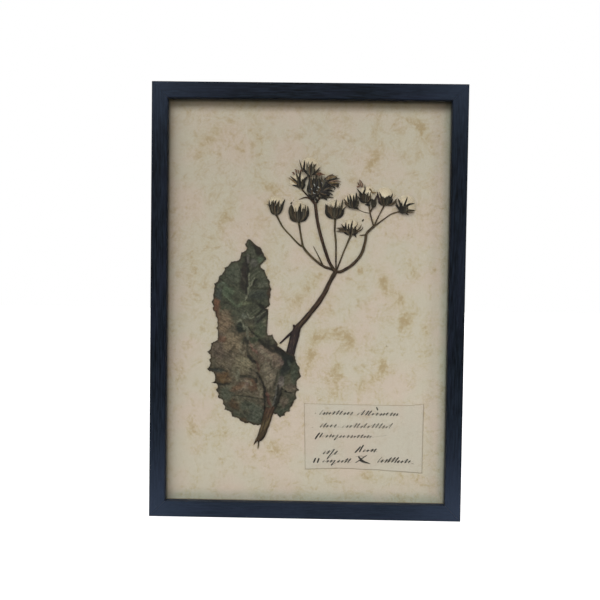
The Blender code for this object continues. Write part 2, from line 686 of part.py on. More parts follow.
def leaf_height(x, z):
    """The underside's height over the sheet, for x and z in millimetres."""
    bridge = LEAF_BRIDGE * ease((LEAF_BRIDGE_FOOT - distance_to(STEM_BEHIND_LEAF, x, z)) / LEAF_BRIDGE_RAMP)
    rib = LEAF_RIB * ease((LEAF_RIB_FOOT - distance_to(MIDRIB, x, z)) / LEAF_RIB_RAMP)
    swing = math.sin(math.tau * z / LEAF_WAVE_DRIFT)
    wave = LEAF_WAVE * (1 + math.sin(math.tau * x / LEAF_WAVE_LENGTH + swing))
    return GAP + max(bridge, rib) + wave * (1 - bridge / LEAF_BRIDGE)


def leaf_mesh():
    xs = [x for x, z in LEAF_OUTLINE]
    zs = [z for x, z in LEAF_OUTLINE]
    width = (max(xs) - min(xs)) * MM + LEAF_CELL
    height = (max(zs) - min(zs)) * MM + LEAF_CELL
    work = bmesh.new()
    place = Matrix.Translation(((max(xs) + min(xs)) / 2 * MM, 0, (max(zs) + min(zs)) / 2 * MM))
    bmesh.ops.create_grid(
        work,
        x_segments=round(width / LEAF_CELL),
        y_segments=round(height / LEAF_CELL),
        size=0.5,
        matrix=place @ Matrix.Rotation(math.pi / 2, 4, "X") @ Matrix.Diagonal((width, height, 1, 1)),
    )
    for vertex in work.verts:
        vertex.co.y = SHEET_Y - leaf_height(vertex.co.x / MM, vertex.co.z / MM)
    front = bmesh.ops.extrude_face_region(work, geom=work.faces[:])["geom"]
    for vertex in (item for item in front if isinstance(item, bmesh.types.BMVert)):
        vertex.co.y -= LEAF_DEPTH
    return finished(work, "leaf")


leaf = add("leaf", leaf_mesh(), leaf_green)
leaf_edge = flat_shape("leaf_edge", in_metres(LEAF_OUTLINE), SPACER_Y, SPACER_DEPTH + OVERCUT)
cut(leaf, cutter("leaf_edge", leaf_edge), "INTERSECT")
stem_room = tube("stem_room", in_metres(STEM), steps=1, extra=GAP)
stem_room = pressed(stem_room, STEM_HALF_THICKNESS + GAP, STEM_MIDDLE)
cut(leaf, cutter("stem_room", stem_room))


# Flower heads: a cup of bracts that end in long points, pressed flat.
def cup_mesh(cup):
    x, z, half_width, depth = (value * MM for value in cup)
    size = Matrix.Diagonal((half_width, CUP_HALF_DEPTH, depth, 1))
    work = bmesh.new()
    bmesh.ops.create_uvsphere(work, u_segments=9, v_segments=5, radius=1.0)
    for vertex in work.verts:
        vertex.co.z *= CUP_CROWN if vertex.co.z > 0 else 1.0
    bmesh.ops.transform(work, verts=work.verts, matrix=Matrix.Translation((x, 0, z)) @ size)
    return finished(work, "cup")


def bract_mesh(cup, tip):
    """A spike from inside the cup's rim to the tip."""
    middle = Vector(cup[:2])
    outward = (Vector(tip) - middle).normalized()
    rim = middle + Vector((BRACT_ROOT[0] * outward.x * cup[2], BRACT_ROOT[1] * outward.y * cup[3]))
    root = Vector((rim.x, 0, rim.y)) * MM
    span = Vector((tip[0], 0, tip[1])) * MM - root
    work = bmesh.new()
    bmesh.ops.create_cone(
        work,
        cap_ends=True,
        segments=4,
        radius1=BRACT_HALF_WIDTH,
        radius2=BRACT_TIP,
        depth=span.length,
        matrix=Matrix.Translation(root + span / 2) @ span.to_track_quat("Z", "Y").to_matrix().to_4x4(),
    )
    return finished(work, "bract")


for number, head in HEADS.items():
    name = f"flower_head_{number}"
    body = fused(name, [cup_mesh(head.cup), *(bract_mesh(head.cup, tip) for tip in head.tips)])
    middle = HIGH_HEAD_MIDDLE if head.high else LOW_HEAD_MIDDLE
    body = pressed(body, HEAD_HALF_THICKNESS, middle)
    body.transform(Matrix.Translation((head.base[0] * MM, 0, head.base[1] * MM)))
    add(name, body, bract_dark)

# Seed tufts: a thin fan of silky hair in each ripe head, behind its bracts.
for number, (lean, spread, reach) in TUFTS.items():
    name = f"seed_tuft_{number}"
    base = [value * MM for value in HEADS[number].base]
    upright = 90 - lean
    rim = arc(base, reach * MM, upright + spread, upright - spread, 10)
    root = arc(base, TUFT_INNER, upright - spread, upright + spread, 4)
    add(name, flat_shape(name, rim + root, SHEET_Y - GAP - TUFT_DEPTH, TUFT_DEPTH), pappus_cream)

for solid in parts.objects:
    if solid.type == "MESH" and solid.name.startswith(("rivet", "stem", "branch", "stalk", "flower")):
        solid.data.shade_smooth()
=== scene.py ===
"""Pressed flower frame: the looks of every piece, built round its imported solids.

The frame hangs upright with its back on the wall plane, Y = 0, and faces -Y, with +Z up. Sizes are in
millimetres. Places are counted from the frame's middle: x to the right, y from the wall plane, z up.
"""

import math

import bpy
import numpy as np
from mathutils import Matrix, Vector, geometry, noise


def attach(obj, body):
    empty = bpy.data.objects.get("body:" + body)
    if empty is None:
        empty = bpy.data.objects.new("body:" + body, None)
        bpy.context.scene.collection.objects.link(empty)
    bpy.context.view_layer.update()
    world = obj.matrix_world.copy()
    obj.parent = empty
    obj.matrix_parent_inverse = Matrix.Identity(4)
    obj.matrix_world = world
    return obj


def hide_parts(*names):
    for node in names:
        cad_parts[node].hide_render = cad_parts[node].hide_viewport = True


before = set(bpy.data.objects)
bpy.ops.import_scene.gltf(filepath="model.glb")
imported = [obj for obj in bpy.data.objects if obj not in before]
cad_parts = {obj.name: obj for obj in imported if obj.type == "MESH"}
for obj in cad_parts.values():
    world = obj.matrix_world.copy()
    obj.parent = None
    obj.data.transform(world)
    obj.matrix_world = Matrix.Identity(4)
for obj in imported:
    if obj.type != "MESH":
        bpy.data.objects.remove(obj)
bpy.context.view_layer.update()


# Rails: four lengths of fibreboard moulding, an L in section with its lip in front, mitred and glued.
# Each is wrapped in thin dark foil with a printed and embossed wood grain. The foil turns in onto the
# back, and the board is bare behind it and in the rebate.
MM = 0.001
FRAME_WIDTH = 224
FRAME_HEIGHT = 311
FRAME_DEPTH = 20
FACE_WIDTH = 11.4
WALL_WIDTH = 6
LIP_DEPTH = 6
OUTER_ROUND = 0.9
INNER_ROUND = 0.6
BACK_CHAMFER = 0.25
FACE_STEPS = 10
FOIL_TURN = 1.4  # how far the foil reaches onto the back
LIP_TURN = 0.6  # and onto the back of the lip
MITRE_SEAM = 0.05
RAIL_STEP = 3
CORNER_PALING = 0.26  # how much paler the corners are
CORNER_PALING_REACH = 34
# Painted light: the foil is drawn paler along the foot, brightening the bottom rail.
FOOT_PAINTED_LIGHT = 0.3
FOOT_PAINTED_LIGHT_RUN = (42, 182)  # how far below the middle it begins, and would be full
LIP_BACK_Y = LIP_DEPTH - FRAME_DEPTH

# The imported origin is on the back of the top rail, halfway along it. This is the middle, in metres.
MIDDLE = Vector((0, 0, (WALL_WIDTH / 2 - FRAME_HEIGHT / 2) * MM))


def paint(red, green, blue):
    """A colour as it shows on a screen, 0 to 255, in the linear values that shaders take."""
    linear = [((value / 255 + 0.055) / 1.055) ** 2.4 for value in (red, green, blue)]
    return (*linear, 1.0)


def new_finish(name, color, roughness, metallic=0.0):
    """A material, its node tree and its shader."""
    material = bpy.data.materials.new(name)
    material.use_nodes = True
    shader = material.node_tree.nodes["Principled BSDF"]
    shader.inputs["Base Color"].default_value = color
    shader.inputs["Roughness"].default_value = roughness
    shader.inputs["Metallic"].default_value = metallic
    return material, material.node_tree, shader


def node(tree, kind, inputs=None, **settings):
    """A shader node with its settings, and its inputs as values or as other nodes' outputs."""
    made = tree.nodes.new("ShaderNode" + kind)
    for name, value in settings.items():
        setattr(made, name, value)
    for socket, value in (inputs or {}).items():
        if isinstance(value, bpy.types.NodeSocket):
            tree.links.new(value, made.inputs[socket])
        else:
            made.inputs[socket].default_value = value
    return made


def stored(tree, name, output="Vector"):
    """A value that a mesh holds at each of its points."""
    return node(tree, "Attribute", attribute_name=name).outputs[output]


def stretched(tree, places, by):
    return node(tree, "VectorMath", {0: places, 1: by}, operation="MULTIPLY").outputs[0]


def clouds(tree, places, scale=1.0, detail=4.0, rough=0.5, warp=0.0):
    """Cloudy values from 0 to 1."""
    inputs = {"Vector": places, "Scale": scale, "Detail": detail, "Roughness": rough, "Distortion": warp}
    return node(tree, "TexNoise", inputs).outputs["Fac"]


def band(tree, value, low, high):
    """0 up to low and 1 from high on, where low may be the larger."""
    inputs = {"Value": value, "From Min": low, "From Max": high}
    return node(tree, "MapRange", inputs, interpolation_type="SMOOTHSTEP").outputs["Result"]


def times(tree, first, second):
    return node(tree, "Math", {0: first, 1: second}, operation="MULTIPLY").outputs[0]


def laid(tree, share, under, over, blend="MIX"):
    """One colour over another, by a share."""
    inputs = {0: share, 6: under, 7: over}
    return node(tree, "Mix", inputs, data_type="RGBA", blend_type=blend).outputs[2]


def washed(tree, color, value, low, high, share, over, blend="MIX"):
    """A colour with another over it where value nears high, as far as share."""
    return laid(tree, times(tree, band(tree, value, low, high), share), color, over, blend)


def colored(tree, shader, color):
    tree.links.new(color, shader.inputs["Base Color"])


def bumpy(tree, shader, height, depth):
    """Bumps that stand depth millimetres high where height is 1."""
    bump = node(tree, "Bump", {"Height": height, "Distance": depth * MM})
    tree.links.new(bump.outputs["Normal"], shader.inputs["Normal"])


def skin(rings, first=0):
    """Faces over rings of points and across their ends, with the points numbered from first."""
    steps, around = rings.shape[:2]
    number = first + np.arange(steps * around).reshape(steps, around)
    ahead = np.roll(number, -1, axis=1)
    faces = np.stack([number[:-1], number[1:], ahead[1:], ahead[:-1]], axis=-1).reshape(-1, 4)
    return [*faces.tolist(), number[0].tolist(), number[-1][::-1].tolist()]


def mesh_piece(name, points, faces, finishes, sharp=40):
    """A piece from points in millimetres, shaded smooth up to sharp degrees."""
    mesh = bpy.data.meshes.new(name)
    mesh.from_pydata((np.asarray(points, float) * MM + np.array(MIDDLE)).tolist(), [], faces)
    for finish in finishes:
        mesh.materials.append(finish)
    mesh.shade_smooth()
    mesh.set_sharp_from_angle(angle=math.radians(sharp))
    made = bpy.data.objects.new(name, mesh)
    bpy.context.scene.collection.objects.link(made)
    return made


def store(piece, name, values, kind="FLOAT_VECTOR"):
    """Keeps a value at each of a mesh's points, for its finish."""
    attribute = piece.data.attributes.new(name, kind, "POINT")
    field = {"FLOAT": "value", "FLOAT_VECTOR": "vector", "FLOAT_COLOR": "color"}[kind]
    attribute.data.foreach_set(field, np.asarray(values, float).ravel())


def foil_finish():
    material, tree, shader = new_finish("rail_foil", paint(20, 26, 35), 0.42)
    grain = stored(tree, "grain")
    streaks = clouds(tree, stretched(tree, grain, (0.07, 0.9, 1)), detail=6, rough=0.66)
    drift = clouds(tree, stretched(tree, grain, (0.02, 0.1, 1)), detail=3)
    pores = clouds(tree, stretched(tree, grain, (0.2, 3.2, 1)), detail=3, rough=0.7)
    color = laid(tree, band(tree, streaks, 0.36, 0.66), paint(9, 12, 16), paint(25, 32, 41))
    color = washed(tree, color, drift, 0.4, 0.7, 0.4, paint(30, 34, 48))
    # Paler towards the corners, and painted light along the foot.
    color = laid(tree, stored(tree, "corner_paling_and_foot_light", "Fac"), color, paint(58, 69, 88))
    color = washed(tree, color, pores, 0.55, 0.7, 0.6, paint(8, 10, 14))
    colored(tree, shader, color)
    bumpy(tree, shader, laid(tree, 0.4, streaks, pores), 0.12)
    shader.inputs["Specular IOR Level"].default_value = 0.025
    return material


def bare_board_finish():
    material, tree, shader = new_finish("bare_moulding", paint(168, 136, 98), 0.85)
    grain = stored(tree, "grain")
    fluff = clouds(tree, stretched(tree, grain, (1.1, 1.6, 1)), detail=6, rough=0.7)
    color = laid(tree, band(tree, fluff, 0.3, 0.75), paint(140, 108, 74), paint(182, 152, 112))
    colored(tree, shader, color)
    bumpy(tree, shader, fluff, 0.15)
    return material


def quarter_round(middle, radius, start, steps):
    """Points over a quarter turn from start degrees."""
    angles = np.radians(start + np.linspace(0, 90, steps + 1))
    return [(middle[0] + radius * math.cos(a), middle[1] + radius * math.sin(a)) for a in angles]


def moulding_section():
    """(inset from the outer edge, y) round the section: where it has foil, then where it is bare."""
    outer = quarter_round((OUTER_ROUND, OUTER_ROUND - FRAME_DEPTH), OUTER_ROUND, 180, 6)
    inner = quarter_round((FACE_WIDTH - INNER_ROUND, INNER_ROUND - FRAME_DEPTH), INNER_ROUND, 270, 5)
    foiled = [(FOIL_TURN, 0), (BACK_CHAMFER, 0), (0, -BACK_CHAMFER), *outer]
    face = np.linspace(outer[-1], inner[0], FACE_STEPS)[1:-1]
    foiled += [*map(tuple, face), *inner, (FACE_WIDTH, LIP_BACK_Y)]
    bare = [(FACE_WIDTH - LIP_TURN, LIP_BACK_Y), (WALL_WIDTH, LIP_BACK_Y), (WALL_WIDTH, 0)]
    return foiled, bare


def corner_paling_and_foot_light(x, z):
    """How much paler the foil is: most at the corners, and along the foot, where it is painted light."""
    corner = np.hypot(FRAME_WIDTH / 2 - np.abs(x), FRAME_HEIGHT / 2 - np.abs(z))
    foot = np.interp(-z, FOOT_PAINTED_LIGHT_RUN, (0, 1))
    return CORNER_PALING * np.exp(-((corner / CORNER_PALING_REACH) ** 2)) + FOOT_PAINTED_LIGHT * foot


def add_rail(side, length, reach, turn, finishes):
    """A rail whose outer edge is reach from the middle, turned clockwise from the top."""
    foiled, bare = moulding_section()
    section = np.array(foiled + bare)
    ends = length / 2 - section[:, 0] - MITRE_SEAM
    stations = np.linspace(-1, 1, round(length / RAIL_STEP))
    along = stations[:, None] * ends
    up = np.broadcast_to(reach - section[:, 0], along.shape)
    back = np.broadcast_to(section[:, 1], along.shape)
    angle = math.radians(turn)
    x = along * math.cos(angle) + up * math.sin(angle)
    z = up * math.cos(angle) - along * math.sin(angle)
    rings = np.stack([x, back, z], axis=-1)
    rail = mesh_piece("rail_" + side + "_wrapped", rings.reshape(-1, 3), skin(rings), finishes)
    steps = np.linalg.norm(np.diff(section, axis=0, prepend=section[:1]), axis=1)
    run = np.broadcast_to(np.cumsum(steps), along.shape)
    store(rail, "grain", np.stack([along, run, np.full(along.shape, turn)], axis=-1))
    store(rail, "corner_paling_and_foot_light", corner_paling_and_foot_light(x, z), "FLOAT")
    for number, face in enumerate(rail.data.polygons):
        if number % len(section) >= len(foiled) - 1 or len(face.vertices) > 4:
            face.material_index = 1
    return rail


rail_finishes = (foil_finish(), bare_board_finish())
for side, length, reach, turn in (
    ("top", FRAME_WIDTH, FRAME_HEIGHT / 2, 0),
    ("right", FRAME_HEIGHT, FRAME_WIDTH / 2, 90),
    ("bottom", FRAME_WIDTH, FRAME_HEIGHT / 2, 180),
    ("left", FRAME_HEIGHT, FRAME_WIDTH / 2, 270),
):
    rail = add_rail(side, length, reach, turn, rail_finishes)
    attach(rail, "root")
    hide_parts("rail_" + side)


# Glass: one pane of plain 2 mm picture glass, held in the rebate by the lip in front of it. It is
# very slightly green, and lets lamps straight through to the sheet.
def glass_finish():
    material, tree, shader = new_finish("window_glass", (0.97, 0.985, 0.975, 1.0), 0.0)
    shader.inputs["Transmission Weight"].default_value = 1.0
    shader.inputs["IOR"].default_value = 1.5
    passed = node(tree, "BsdfTransparent", {"Color": (0.9, 0.915, 0.9, 1.0)})
    rays = node(tree, "LightPath").outputs
    lit = node(tree, "MixShader", {0: rays["Is Shadow Ray"], 1: shader.outputs[0], 2: passed.outputs[0]})
    glass = node(tree, "MixShader", {0: rays["Is Diffuse Ray"], 1: lit.outputs[0], 2: passed.outputs[0]})
    tree.links.new(glass.outputs[0], tree.nodes["Material Output"].inputs["Surface"])
    return material


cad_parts["glass_pane"].material_slots[0].material = glass_finish()


# Spacers: four strips of grey-brown card behind the glass, which keep it off the plant. The lip
# hides them from the front.
def in_millimetres(tree):
    """Places on the object, in millimetres."""
    return stretched(tree, node(tree, "TexCoord").outputs["Object"], (1 / MM, 1 / MM, 1 / MM))


def card_finish():
    material, tree, shader = new_finish("spacer_card", paint(140, 128, 108), 0.9)
    fibres = clouds(tree, in_millimetres(tree), 1.3, detail=6, rough=0.7)
    color = laid(tree, band(tree, fibres, 0.3, 0.75), paint(120, 108, 88), paint(158, 147, 126))
    colored(tree, shader, color)
    bumpy(tree, shader, fibres, 0.08)
    return material


spacer_card = card_finish()
for side in ("left", "right", "top", "bottom"):
    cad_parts["spacer_" + side].material_slots[0].material = spacer_card


# Sheet: one piece of old handmade paper, laid flat on the board. Damp and age have left cloudy tan stains,
# and it has cockled very slightly. Its edges carry painted shadow of the rails' lip, and it is painted
# darker towards the upper left as painted shade where the light is weaker.
SHEET_WIDTH = 209.6
SHEET_HEIGHT = 296.6
SHEET_Y = -7.7
SHEET_THICKNESS = 0.3
SHEET_CELL = 3
COCKLE = 0.1
FALLOFF_RUN = (-600, 240)  # how far to the right, and up, the painted shade takes from none to full
SEEN = (101.7, 145.6)  # from the sheet's middle to where the rails hide it

# What the sheet's colour is multiplied by at its edges, as painted shadow of the rails' lip: warm at the
# top, cool on the right and at the foot, and a narrow dark hem all round but for the foot.
PAINTED_EDGE_SHADOWS = {
    "left": (0.74, 0.72, 0.68, 1),
    "right": (0.68, 0.77, 0.77, 1),
    "top": (0.55, 0.52, 0.42, 1),
    "hem": (0.22, 0.25, 0.29, 1),
}

# How far in from the edge that shows each shade begins, and how far in it is full.
LEFT_SHADE = (6, -1)
RIGHT_SHADE = (8.2, 1.2)
FOOT_SHADE = (10, 0.4)
TOP_SHADE = (11, 0)
SIDE_LIP_SHADOW = (2, -0.4)
TOP_LIP_SHADOW = (3.2, 0.6)

# A stain on the sheet is (x, z, half its width, half its height, degrees clockwise, strength).
STAINS = (
    (-78, 110, 4, 12, 0, 0.5), (-68, 122, 6, 10, 20, 0.45), (-50, 108, 5, 8, 0, 0.4),
    (-38, 118, 4, 20, -12, 0.5), (-28, 83, 10, 3.5, 30, 0.9), (-61, 60, 3.5, 16, 18, 0.6),
    (-72, 38, 5, 10, 0, 0.45), (-82, 26, 4, 14, 0, 0.4), (-36, 58, 5, 7, 0, 0.4),
    (-27, 36, 4, 5, 0, 0.6), (48, 124, 3, 10, 8, 0.6), (46, 102, 3.5, 11, 32, 0.9),
    (80, 125, 3, 11, -28, 0.9), (66, 120, 4, 7, 0, 0.4), (33, 88, 4, 3, 0, 0.5),
    (4, 14, 4, 9, 45, 0.6), (-8, 0, 4.5, 10, 37, 0.7), (38, 25, 2.5, 6, 0, 0.7),
    (56, 14, 4.5, 10, -20, 0.9), (66, 2, 6, 6, 0, 0.9), (72, -11, 4.5, 7, 18, 1),
    (76, 24, 4, 7, 0, 0.45), (16, -6, 6, 5, 0, 0.5), (6, -27, 5, 6, 30, 0.9),
    (20, -22, 11, 4, 0, 0.9), (32, -29, 4.5, 7, 0, 1), (3, -38, 5, 5, 0, 1), (1, -48, 4, 6, 0, 0.7),
    (22, -50, 4, 12, 0, 0.8), (20, -66, 4, 6, 0, 0.6), (55, -46, 3.5, 8, 0, 1),
    (48, -56, 6, 3, -40, 0.9), (40, -62, 5, 3, 0, 1), (87, -18, 4, 5, 0, 0.6), (85, -43, 4, 4, 0, 0.5),
    (-64, -101, 5, 7, 0, 0.5), (-22, -108, 8, 4, 0, 0.45), (46, -127, 7, 4, 0, 0.4),
    (70, -128, 9, 4, 0, 0.5), (-84, -96, 4, 10, 0, 0.4),
)


def grid_faces(rows, columns):
    """Faces over rows and columns of points, with their normals to the front."""
    number = np.arange(rows * columns).reshape(rows, columns)
    faces = np.stack([number[:-1, :-1], number[:-1, 1:], number[1:, 1:], number[1:, :-1]], axis=-1)
    return faces.reshape(-1, 4).tolist()


def sheet_grid(width, height, cell):
    """Points over a rectangle, and the faces between them."""
    columns = round(width / cell) + 1
    rows = round(height / cell) + 1
    x, z = np.meshgrid(np.linspace(-0.5, 0.5, columns), np.linspace(-0.5, 0.5, rows))
    return x.ravel() * width, z.ravel() * height, grid_faces(rows, columns)


def cockled(x, z):
    """How far the old paper stands off its board, 0 to COCKLE."""
    swell = np.sin(x / 19 + 1.3 * np.sin(z / 37)) + np.sin(z / 26 + 1.1 * np.sin(x / 31))
    return COCKLE * (swell + 2) / 4


def thickened(piece, thickness):
    """Gives a sheet its thickness behind its front face."""
    solid = piece.modifiers.new("thickness", "SOLIDIFY")
    solid.thickness = thickness * MM
    solid.offset = -1
    return piece


def turned(across, up, degrees):
    """Places across and up a patch that is turned clockwise."""
    angle = math.radians(degrees)
    along = across * math.cos(angle) - up * math.sin(angle)
    return along, across * math.sin(angle) + up * math.cos(angle)


def stained(x, z):
    """How stained the sheet is at each point, 0 to 1."""
    clear = np.ones(x.shape)
    for left, up, half_width, half_height, degrees, strength in STAINS:
        u, v = turned(x - left, z - up, degrees)
        clear *= 1 - strength * np.exp(-((u / half_width) ** 2) - (v / half_height) ** 2)
    return 1 - clear


def painted_falloff(x, z):
    """How far the sheet is painted darker, most at the upper left: painted shade where the light is weaker.
    """
    return np.clip(0.5 + x / FALLOFF_RUN[0] + z / FALLOFF_RUN[1], 0, 1)


def total(tree, first, second):
    return node(tree, "Math", {0: first, 1: second}, operation="ADD").outputs[0]


def size_of(tree, value):
    return node(tree, "Math", {0: value}, operation="ABSOLUTE").outputs[0]


def greater(tree, first, second):
    return node(tree, "Math", {0: first, 1: second}, operation="MAXIMUM").outputs[0]


def near_edge(tree, place, edge, shade):
    """1 at an edge and 0 further in, over the depths that a shade gives."""
    inwards = -math.copysign(1, edge)
    begins, full = (edge + inwards * depth for depth in shade)
    return band(tree, place, begins, full)


def painted_edge_shadows(tree, places, uneven, color):
    """The sheet's colour with painted shadow along its edges, where the rails' lip would shade it."""
    axes = node(tree, "SeparateXYZ", {"Vector": places})
    across = axes.outputs["X"]
    rise = total(tree, axes.outputs["Z"], -MIDDLE.z / MM)
    wide, tall = SEEN
    right = near_edge(tree, across, wide, RIGHT_SHADE)
    foot = near_edge(tree, rise, -tall, FOOT_SHADE)
    side_lip_shadow = near_edge(tree, size_of(tree, across), wide, SIDE_LIP_SHADOW)
    shares = {
        "left": times(tree, near_edge(tree, across, -wide, LEFT_SHADE), uneven),
        "right": times(tree, greater(tree, right, foot), uneven),
        "top": near_edge(tree, rise, tall, TOP_SHADE),
        "hem": greater(tree, side_lip_shadow, near_edge(tree, rise, tall, TOP_LIP_SHADOW)),
    }
    for name, share in shares.items():
        color = laid(tree, share, color, PAINTED_EDGE_SHADOWS[name], "MULTIPLY")
    return color


def paper_finish(name, pale, warm, tan, sheet=False):
    """Old paper, pale with warmer clouds, tan stains and fine fibres: the sheet's, or the label's."""
    material, tree, shader = new_finish(name, pale, 0.92)
    places = in_millimetres(tree)
    wash = clouds(tree, places, 0.035, detail=5)
    cloud = clouds(tree, places, 0.1, detail=8, rough=0.7, warp=0.8)
    mottle = clouds(tree, places, 0.55, detail=7, rough=0.76)
    fibre = clouds(tree, places, 2.4, detail=5, rough=0.8)
    color = laid(tree, band(tree, wash, 0.36, 0.64), pale, warm)
    reach = total(tree, cloud, times(tree, mottle, 0.3))
    if sheet:
        damp = stored(tree, "stained", "Fac")
        color = laid(tree, times(tree, damp, 0.4), color, paint(190, 171, 132))
        creep = clouds(tree, places, 0.055, detail=7, rough=0.66, warp=1.0)
        creep = size_of(tree, total(tree, creep, -0.5))
        reach = total(tree, reach, times(tree, band(tree, creep, 0.09, 0), 0.11))
        reach = total(tree, reach, times(tree, damp, 0.26))
    cover = band(tree, reach, 0.62, 1.05)
    grain = total(tree, 0.13, times(tree, cover, 0.4))
    color = laid(tree, times(tree, cover, 0.75), color, tan)
    color = washed(tree, color, cover, 0.5, 1, 0.35, paint(158, 126, 82))
    color = washed(tree, color, mottle, 0.5, 0.68, grain, tan)
    color = washed(tree, color, mottle, 0.5, 0.34, grain, paint(226, 216, 202))
    color = washed(tree, color, fibre, 0.35, 0.7, 0.22, paint(222, 212, 198))
    if sheet:
        # Painted shade, darker towards the upper left, where the light is weaker.
        color = laid(tree, stored(tree, "painted_falloff", "Fac"), color, paint(228, 227, 226), "MULTIPLY")
        # Painted shadow of the rails' lip along the sheet's edges.
        color = painted_edge_shadows(tree, places, total(tree, cloud, 0.5), color)
    else:
        # The label's dark rim is a painted shadow line along its edges.
        color = laid(tree, stored(tree, "edge", "Fac"), color, paint(150, 128, 102))
    colored(tree, shader, color)
    bumpy(tree, shader, laid(tree, 0.5, mottle, fibre), 0.07)
    shader.inputs["Specular IOR Level"].default_value = 0.2
    return material


x, z, faces = sheet_grid(SHEET_WIDTH, SHEET_HEIGHT, SHEET_CELL)
points = np.stack([x, SHEET_Y - cockled(x, z), z], axis=-1)
paper_colors = (paint(202, 190, 173), paint(207, 187, 173), paint(180, 156, 112))
aged_paper = paper_finish("aged_paper", *paper_colors, sheet=True)
sheet = thickened(mesh_piece("aged_sheet", points, faces, [aged_paper]), SHEET_THICKNESS)
store(sheet, "stained", stained(x, z), "FLOAT")
store(sheet, "painted_falloff", painted_falloff(x, z), "FLOAT")
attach(sheet, "root")
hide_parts("herbarium_sheet")


# Label: a slip torn and cut from older writing paper and pasted low on the right. Its edges have
# lifted a little. The pen strokes on it are slanted ups and downs and ticks, which spell nothing.
LABEL_TOP = ((-1.4, -73.7), (27.8, -73.9), (60.2, -74), (76.4, -73.8), (85.8, -72.7))
LABEL_BOTTOM = ((-0.1, -122.2), (25.9, -121.1), (54.6, -121.9), (85.4, -123.6))
LABEL_LIFT = 0.12
LABEL_CURL = 0.3
LABEL_THICKNESS = 0.12
LABEL_CELLS = (96, 56)
LABEL_TORN = (0.09, 0.08)  # how rough its top and foot are, and its sides
LABEL_RIM_SHADOW = 0.55  # how dark its rim is: a painted shadow line along the slip's edges
INK_LIFT = 0.02
INK_THICKNESS = 0.03
PEN_CURVE_STEPS = 6

SLANT = 0.7  # how far a pen stroke leans to the right for each millimetre of its height
MINIM_STEP = (2, 3.1)
MINIM_HEIGHT = (0.85, 1.4)  # as a share of the height that the word gives
MINIM_FOOT = (-0.15, 0.25)  # how far its foot is above the line
PEN_UPSTROKE = 0.26  # how wide the light strokes are, as a share of the heavy ones
WORD_SPREAD = 1.5  # how far the ink has spread beyond the pen's width
STROKE_SPREAD = 1.15

# A word is (x of its start and its end, z of its foot, height of its small strokes, half width of the
# pen, its tall strokes). A tall stroke is (x, height), and hangs where its height is below 0.
WORDS = (
    (10.2, 33.4, -81.8, 1.9, 0.24, ((11.2, 3.6), (23.6, 3.4), (25.6, 3))),
    (37.6, 66, -81.8, 1.8, 0.24, ((41.4, 3.8), (44, 3.6))),
    (10.8, 22.4, -91, 1.9, 0.22, ((11.4, 3), (13.6, 3.2))),
    (27, 61.6, -91, 1.7, 0.2, (
        (36.4, 3.4), (42.6, 3.6), (48.8, 3.4), (52.4, 3.6), (54.6, 3.6), (60.2, 3.8),
    )),
    (12.2, 47, -98.4, 1.7, 0.22, ((22.6, -2), (39.4, 2.6))),
    (13.2, 23.2, -110.8, 2.3, 0.26, ((14.2, 2.6), (17.8, -3.6), (19.4, 4))),
    (42.4, 52, -108.6, 1.7, 0.28, ((49.8, 2.6),)),
    (13, 32, -116.8, 1.7, 0.27, ((20.6, -2.2), (28.6, 4), (30, 3.4))),
    (53, 76.4, -116.2, 1.9, 0.28, ((53.6, 4.4), (61.4, 4), (64.2, 4.2), (73.4, 3))),
)

# A pen stroke on its own is (half width, its stops).
PEN_STROKES = (
    (0.4, (6.6, -81.2), (7, -80.7), (7.4, -80.8)),
    (0.4, (51.4, -75.6), (51.9, -76.8), (52.5, -77.9)),
    (0.3, (66.2, -81.6), (66.6, -81.2), (67, -81.4)),
    (0.3, (4.8, -91.6), (5.2, -91.2), (5.6, -91.2)),
    (0.12, (23.4, -90.8), (24.8, -90.5), (26.4, -90.9)),
    (0.5, (10.6, -95), (9.2, -96.6), (8, -98.4), (7, -99.9)),
    (0.4, (12.6, -95.2), (11.6, -96.6), (10.2, -98.6)),
    (0.12, (47.8, -97.7), (53.5, -97.2), (59.6, -96)),
    (0.45, (40.4, -104.6), (38.4, -107), (36.2, -109.4)),
    (0.45, (42.6, -103.4), (41.2, -105.6), (39.4, -108.9)),
    (0.5, (7.8, -113.6), (6.9, -115.4), (6.1, -117.2)),
    (0.5, (10.2, -113.6), (9.6, -115.4), (8.9, -117.2)),
    (0.55, (38.8, -111.8), (40.2, -113.6), (43.2, -115.6), (47.6, -117.3)),
    (0.5, (39.6, -114.6), (42.4, -116.2), (46.2, -117)),
    (0.35, (45.2, -110.9), (42, -113), (39, -115.2), (36.6, -116.7)),
    (0.3, (36.6, -112.4), (39.4, -111.6), (42.6, -111.9)),
    (0.4, (77.4, -116.9), (78.2, -116.6), (79, -116.8)),
)


def between(stops, share):
    """Points that far along a line of stops, by their x."""
    stops = np.array(stops)
    x = stops[0, 0] + share * (stops[-1, 0] - stops[0, 0])
    return x, np.interp(x, stops[:, 0], stops[:, 1])


def label_lift(u, v):
    """How high the slip stands over the sheet, for shares across and up it."""
    right = np.clip((u - 0.9) / 0.1, 0, 1) ** 2
    foot = np.clip((0.12 - v) / 0.12, 0, 1) ** 2 * np.clip((u - 0.35) / 0.4, 0, 1)
    corner = np.clip((u + (1 - v) - 1.75) / 0.25, 0, 1) ** 2
    return LABEL_LIFT + LABEL_CURL * np.maximum(np.maximum(0.6 * right, foot), corner)


